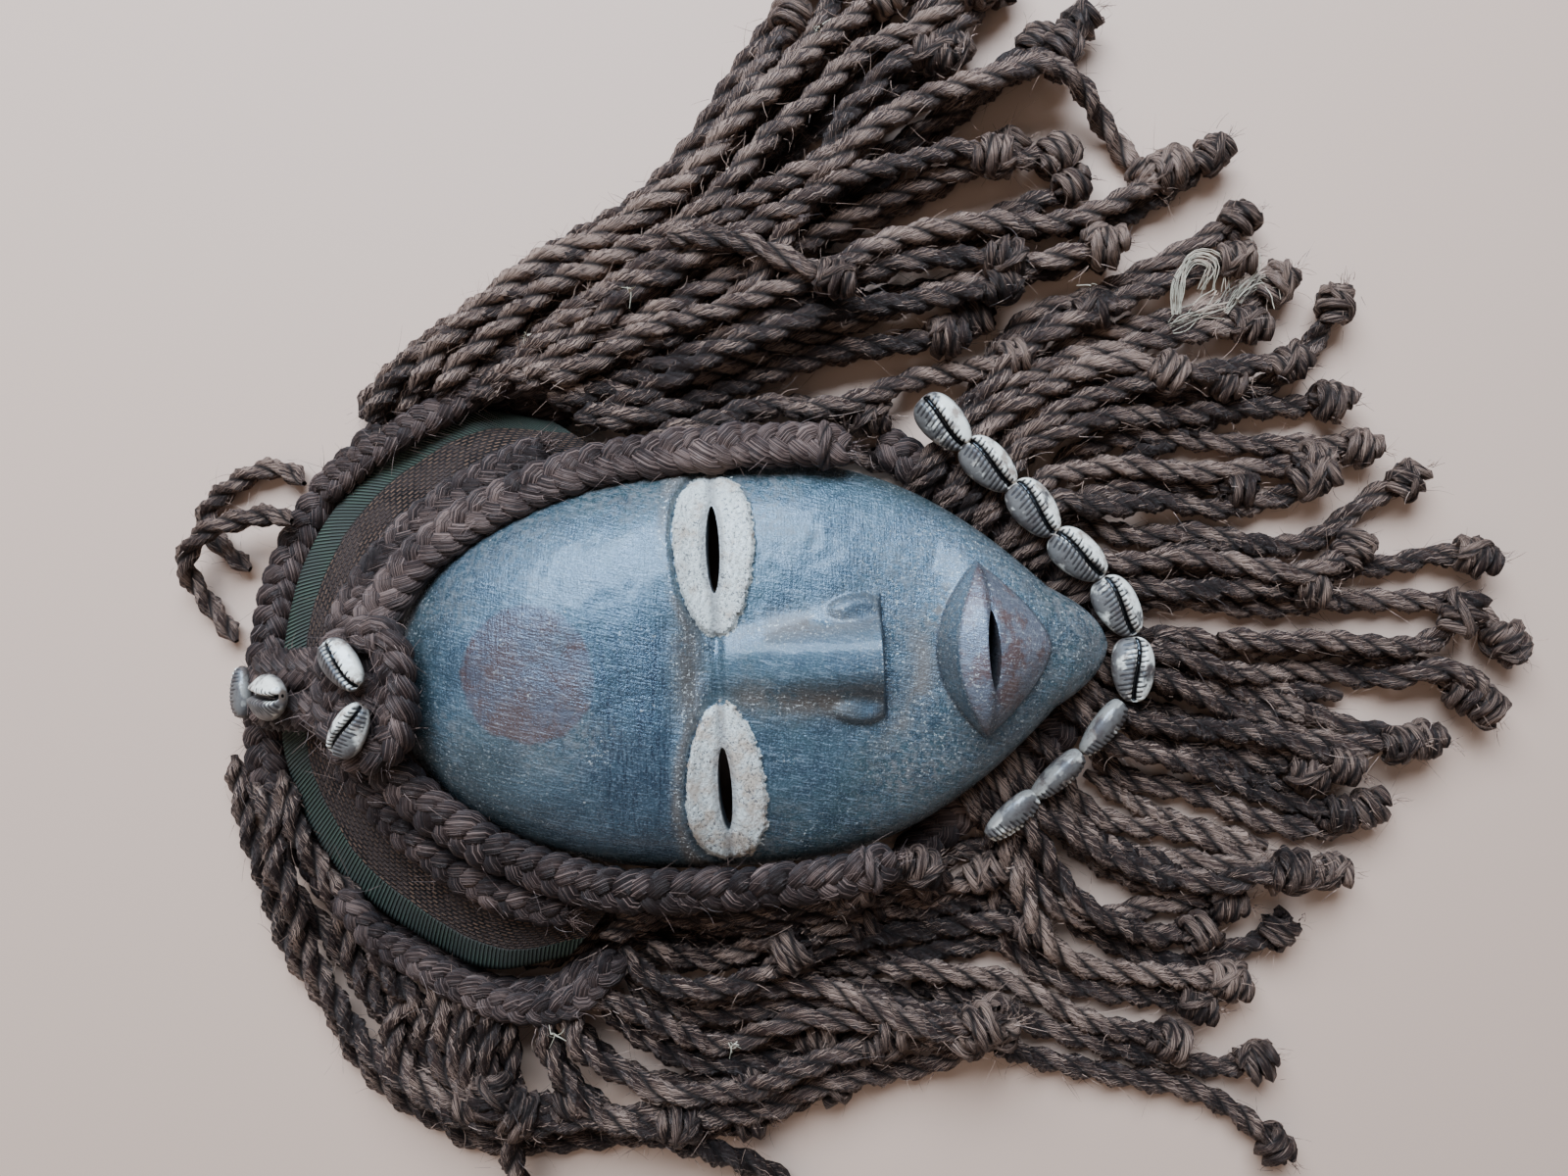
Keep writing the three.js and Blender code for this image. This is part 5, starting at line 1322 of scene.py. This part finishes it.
UPPER_SECOND_PLAIT = [
    (-0.131, 0.017, 0.0395), (-0.122, 0.033, 0.0375), (-0.11, 0.047, 0.036), (-0.096, 0.058, 0.035),
    (-0.08, 0.067, 0.034), (-0.062, 0.075, 0.033),
]
LOWER_SECOND_PLAIT = [
    (-0.131, -0.022, 0.0395), (-0.122, -0.038, 0.0375), (-0.11, -0.052, 0.036), (-0.096, -0.064, 0.035),
    (-0.08, -0.073, 0.034), (-0.062, -0.079, 0.033),
]
PAD_LOOP = [
    (-0.122, 0.016), (-0.112, 0.0165), (-0.1075, 0.008), (-0.107, -0.003), (-0.1085, -0.015),
    (-0.117, -0.0205), (-0.127, -0.018), (-0.1305, -0.004), (-0.128, 0.01), (-0.122, 0.0155),
]
PAD_MIDDLE = [(-0.132, -0.003), (-0.124, -0.002), (-0.115, -0.002), (-0.108, -0.002)]
CROWN_PLAITS = [
    [(-0.13, 0.006, 0.044), (-0.139, 0.006, 0.0385), (-0.148, 0.006, 0.033), (-0.157, 0.006, 0.026),
     (-0.166, 0.005, 0.019)],
    [(-0.13, -0.007, 0.044), (-0.139, -0.007, 0.0385), (-0.148, -0.007, 0.033), (-0.157, -0.007, 0.026),
     (-0.166, -0.006, 0.019)],
]
# Each shell's place, the turn of its length from +X and its lean towards -X in degrees, and its scale
CROWN_COWRIES = [
    ((-0.1225, 0.008, 0.0585), -48, -20, 0.84), ((-0.121, -0.012, 0.0590), 55, -20, 0.84),
    ((-0.1535, -0.002, 0.0395), 4, -48, 1.04), ((-0.1705, -0.001, 0.0215), 88, -66, 0.80),
]
# Bleached wisps in the beard and places of the lint
WISPS = [
    [(0.157, 0.113), (0.158, 0.124), (0.163, 0.132), (0.17, 0.13), (0.168, 0.121)],
    [(0.154, 0.109), (0.163, 0.114), (0.172, 0.117)],
    [(0.173, 0.113), (0.178, 0.122), (0.183, 0.129), (0.179, 0.134)],
    [(0.178, 0.117), (0.186, 0.125), (0.192, 0.123), (0.195, 0.119)],
]
LINT = [(0.036, 0.213), (-0.031, 0.124), (0.127, 0.1235), (-0.070, -0.120), (-0.011, -0.130), (-0.066, 0.111)]
# Each shell's place, the turn of its length from +X and its roll about its length in degrees
BEARD_COWRIES = [
    ((0.071, 0.0775, 0.0235), -49, 20), ((0.0855, 0.0625, 0.023), -46, 0), ((0.100, 0.047, 0.023), -54, 0),
    ((0.114, 0.0305, 0.023), -42, 0), ((0.1265, 0.0125, 0.023), -62, 0), ((0.1305, -0.009, 0.023), -91, 0),
    ((0.119, -0.028, 0.022), -130, -72), ((0.103, -0.043, 0.022), -140, -78),
    ((0.087, -0.056, 0.022), -142, -58),
]


def pad_pieces(paint):
    """The crown pad: a plait laid in a ring over a fibre lump, on the slope of the forehead."""
    SLOPE, MIDDLE_X, MIDDLE_Z, HALF_WIDE, HALF_HIGH, SIDES = 0.36, -0.118, 0.0505, 0.0145, 0.0075, 28

    def on_pad(points, rise):
        return [(x, y, MIDDLE_Z + rise + SLOPE * (x - MIDDLE_X)) for x, y in points]

    ring = curve_through(on_pad(PAD_LOOP, 0.0015), PLAIT_STEP)
    middle = curve_through(on_pad(PAD_MIDDLE, 0.0005), PLAIT_STEP)
    lump = curve_through(on_pad([(MIDDLE_X, 0.0155), (MIDDLE_X, 0.0), (MIDDLE_X, -0.0195)], -0.006), 0.002)
    tilt = (-SLOPE, 0.0, 1.0)
    parts = plait_parts(ring, PAD_RING_SIZE, -0.05, tilt)
    parts += plait_parts(middle, PAD_MIDDLE_SIZE, -0.15, tilt)
    parts.append(fuzz_part(ring, 0.007, 0.1, 0.0006))
    turn = np.linspace(0, 2 * math.pi, SIDES, endpoint=False)
    _, side, up = frames_along(lump, tilt)
    wide = HALF_WIDE * np.sqrt(np.clip(1 - np.linspace(-1, 1, len(lump)) ** 6, 0.02, 1))[:, None]
    body = lump[:, None] + (wide * np.cos(turn))[..., None] * side[:, None]
    body = body + (HALF_HIGH * np.sin(turn))[None, :, None] * up[:, None]
    around = np.broadcast_to(np.linspace(0, 3, SIDES + 1), (len(lump), SIDES + 1))
    # The lump sits under the ring, painted darker and half in painted shade
    parts.append(grid_part(body, run_along(lump)[:, None], around, wrap=True, tone=-0.25, ply=0.5, pale=0.0))
    pad = add_piece("crown_pad_plait", parts, paint, ["crown_pad"])
    crown = []
    for route in CROWN_PLAITS:
        crown += plait_parts(curve_through(route, PLAIT_STEP), CROWN_SIZE, -0.12)
    add_piece("crown_plait", crown, paint, ["crown_braid"])


def frayed_plait(route, size, tone, up, tuft_length, tuft_tone):
    """A plait that ends in a small tuft, and its line."""
    line = curve_through(route, PLAIT_STEP)
    parts = plait_parts(line, size, tone, up)
    parts.append(tuft_part(line[-1], unit(line[-1] - line[-5]), tuft_length, 60, tuft_tone))
    return parts, line


def plait_pieces(paint):
    """The plaits along the face, the cap's edge and the beard, with the small tufts and bindings on them."""
    for name, side, route, second_route in (("left", 1, UPPER_BROW_PLAIT, UPPER_SECOND_PLAIT),
                                            ("right", -1, LOWER_BROW_PLAIT, LOWER_SECOND_PLAIT)):
        # The upper plait, on the lit side, is painted lighter and the lower one darker, as painted light and
        # shade
        parts, line = frayed_plait(route, BROW_SIZE, 0.12 * side, (0, 0.28 * side, 1), 0.005, 0.2)
        parts.append(hitch_part(line[-8], line[-6] - line[-10], 0.0062, 0.3, 0.02, 0.0026))
        parts += frayed_plait(second_route, SECOND_SIZE, -0.10, (-0.2, 0.28 * side, 1), 0.007, 0.3)[0]
        add_piece(f"brow_plait_{name}", parts, paint, [f"brow_braid_{name}"])
    line = curve_through([(x, y, EDGE_BRAID_HEIGHT) for x, y in EDGE_BRAID], PLAIT_STEP)
    parts = plait_parts(line, EDGE_SIZE, -0.05)
    parts.append(tuft_part(line[0], unit(line[0] - line[5]), 0.010, 110, 0.6, pale=0.35))
    parts.append(tuft_part(line[-1], unit(line[-1] - line[-5]), 0.006, 60, 0.2))
    add_piece("cap_edge_plait", parts, paint, ["cap_edge_braid"])
    line = curve_through([(x, y, BEARD_BRAID_HEIGHT) for x, y in BEARD_BRAID], PLAIT_STEP)
    add_piece("beard_plait", plait_parts(line, BEARD_SIZE, -0.05), paint, ["beard_braid"])


def strand_tone():
    """Most strands are dark, and a few are golden brown."""
    return float(np.clip(CHANCE.normal(0.0, 0.15), -0.3, 0.45))


def lying(route):
    """A route with its heights: a point without one lies on the floor, apart from the root and the knot."""
    usual = [ROOT_HEIGHT] + [LYING_HEIGHT] * (len(route) - 2) + [KNOT_HEIGHT]
    return [point if len(point) == 3 else (*point, height) for point, height in zip(route, usual)]


def cad_strand(name, route, paint, heap):
    """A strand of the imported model, as a free cord with its knot."""
    line = curve_through(lying(route), STRAND_STEP)
    heap.add(line, STRAND_RADIUS)
    strand, knot = strand_pieces(f"{name}_rope", line, strand_tone(), paint, [name])


def tie_loop(name, route, paint):
    """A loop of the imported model, as a free cord with its stray fibres."""
    line = curve_through(lying(route), 0.0016)
    rope = rope_part(line, LOOP_RADIUS, 0.0, lay=0.021)
    loop = add_piece(f"{name}_rope", [rope], paint, [name])
    fuzz = add_piece(f"{name}_fibres", [fuzz_part(line, LOOP_RADIUS, 0.0)], paint)


def hair(paint):
    """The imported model's strands and loops, and the piles on them. Gives back how high it all lies."""
    heap = Heap([node for name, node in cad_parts.items() if not name.startswith(LOOSE)])
    for group, routes in (("hair", HAIR_STRANDS), ("beard", BEARD_STRANDS)):
        for i, route in enumerate(routes):
            cad_strand(f"{group}_strand_{i + 1}", route, paint, heap)
    for i, route in enumerate(TIE_LOOPS):
        tie_loop(f"tie_loop_{i + 1}", route, paint)
    for group, routes, low, rise, locks in PILES:
        for i, route in enumerate(routes):
            line = laid(heap, route, STRAND_RADIUS, low + i * rise)
            strand_pieces(f"{group}_rope_{i + 1}", line, strand_tone(), paint, locks)
    return heap


def under_strands(paint):
    """Strands at the bottom of the pile, which fill it between the others, a little darker as painted shade.
    Their ends are out of sight.
    """
    parts = []
    for route in UNDER_STRANDS:
        line = curve_through([(x, y, STRAND_RADIUS) for x, y in route], 0.003)
        # A little darker than the others, as painted shade at the bottom of the pile
        parts.append(rope_part(line, STRAND_RADIUS, -0.12 + strand_tone(), sides=10))
    add_piece("under_strands", parts, paint)


def beard_hitches(paint):
    """The turns of the beard's strands over the beard plait."""
    beard = curve_through([(x, y, BEARD_BRAID_HEIGHT) for x, y in BEARD_BRAID], 0.002)
    parts = []
    for route in BEARD_STRANDS + EXTRA_BEARD:
        x, y = route[0][:2]
        nearest = np.argmin(np.hypot(beard[:, 0] - x, beard[:, 1] - y))
        heading = beard[min(nearest + 2, len(beard) - 1)] - beard[max(nearest - 2, 0)]
        parts.append(hitch_part(beard[nearest], heading, 0.0078, strand_tone(), 0.003, 0.0040))
    add_piece("beard_hitches", parts, paint)


def root_plaits(heap, paint):
    """The plaits that lie over the roots of the strands, along the outside of the band."""
    for name, route in ROOT_PLAITS:
        line = resampled(laid(heap, route, 0.0045, 0.024), PLAIT_STEP)
        add_piece(f"root_plait_{name}", plait_parts(line, ROOT_SIZE, 0.0), paint)


def pale_fibres(heap, paint):
    """Bleached wisps among the beard's strands, and specks of lint on the hair."""
    FIBRES, WIDTH, SPECK = 17, 0.00014, 7
    parts = []
    for route in WISPS:
        line = laid(heap, route, 0.002, 0.03)
        _, side, up = frames_along(line)
        t = np.linspace(0, 1, len(line))[:, None]
        for _ in range(FIBRES):
            away = CHANCE.normal(0, 0.0011) + CHANCE.normal(0, 0.0040) * t ** 2
            away = away + CHANCE.normal(0, 0.0012) * np.sin(7 * t)
            raised = abs(CHANCE.normal(0, 0.0012)) * (0.3 + t)
            strand = line + side * away + up * raised
            points = np.stack((strand - WIDTH * side, strand + WIDTH * side), axis=1)
            parts.append(grid_part(points, run_along(line)[:, None], np.zeros(points.shape[:2]),
                                   tone=CHANCE.uniform(0.1, 0.6), ply=1.0, pale=CHANCE.uniform(0.0, 0.75)))
    for x, y in LINT:
        top = heap.rest_height(np.array([[x, y, 0.0]]), 0.002)[0]
        starts = np.array((x, y, top)) + CHANCE.normal(0, 0.0006, (SPECK, 3))
        headings = unit(CHANCE.normal(0, 1, (SPECK, 3)))
        parts.append(fibre_part(starts, headings, 0.0020, 0.00025, 0.8, pale=1.0, curl=1.6))
    add_piece("pale_fibres", parts, paint)


def shells():
    paint = shell_paint()
    for i, (place, turn, lean, scale) in enumerate(CROWN_COWRIES):
        part = cowrie_part(place, turn, lean, scale)
        add_piece(f"crown_shell_{i + 1}", [part], paint, [f"crown_cowrie_{i + 1}"])
    for i, (place, turn, roll) in enumerate(BEARD_COWRIES):
        part = cowrie_part(place, turn, 0, 1.0, roll)
        add_piece(f"beard_shell_{i + 1}", [part], paint, [f"beard_cowrie_{i + 1}"])


# Floor, light and camera

def plain_floor():
    HALF = 4.0
    mesh = bpy.data.meshes.new("floor")
    corners = [(-HALF, -HALF, 0), (HALF, -HALF, 0), (HALF, HALF, 0), (-HALF, HALF, 0)]
    mesh.from_pydata(corners, [], [(0, 1, 2, 3)])
    paint = Paint("floor_paint", {"Roughness": 0.6, "Specular IOR Level": 0.3})
    mesh.materials.append(paint.finish(srgb(206, 166, 140)))
    linked("floor", mesh)


def soft_light(name, place, size, power, colour):
    """A soft rectangular light that faces the mask. Size is its width and height."""
    light = bpy.data.lights.new(name, "AREA")
    light.shape = "RECTANGLE"
    light.size, light.size_y = size
    light.energy = power
    light.color = colour
    lamp = linked(name, light)
    lamp.location = place
    lamp.rotation_euler = Vector(place).to_track_quat("Z", "Y").to_euler()


def lights():
    world = bpy.data.worlds.new("studio")
    world.use_nodes = True
    sky = world.node_tree.nodes["Background"]
    sky.inputs["Color"].default_value = srgb(212, 222, 236)
    sky.inputs["Strength"].default_value = 0.28
    bpy.context.scene.world = world
    soft_light("window", (-0.12, 0.98, 1.08), (1.3, 0.85), 69, (0.65, 0.895, 1.22))
    soft_light("fill", (-0.9, -0.5, 1.4), (1.4, 1.4), 5, (1.0, 0.95, 0.88))


def camera():
    data = bpy.data.cameras.new("camera")
    data.lens = CAMERA_LENS
    data.sensor_width = CAMERA_SENSOR
    data.clip_start = 0.01
    eye = linked("camera", data)
    eye.location = CAMERA_PLACE
    eye.rotation_euler = (0, 0, CAMERA_ROLL)
    bpy.context.scene.camera = eye


camera()
lights()
plain_floor()
# The third colour of each fibre paint is its paler fibres and their painted glints
STRAND_PAINT = fibre_paint("fibre_strand", srgb(25, 14, 11), srgb(50, 31, 25), srgb(168, 132, 110), 0.02)
PLAIT_PAINT = fibre_paint("fibre_plait", srgb(24, 14, 12), srgb(46, 30, 26), srgb(126, 98, 85), 0.05)
HEAP = hair(STRAND_PAINT)
under_strands(STRAND_PAINT)
beard_hitches(STRAND_PAINT)
root_plaits(HEAP, PLAIT_PAINT)
pale_fibres(HEAP, STRAND_PAINT)
plait_pieces(PLAIT_PAINT)
pad_pieces(PLAIT_PAINT)
shells()
band_piece()
carve_face()

bpy.context.view_layer.update()
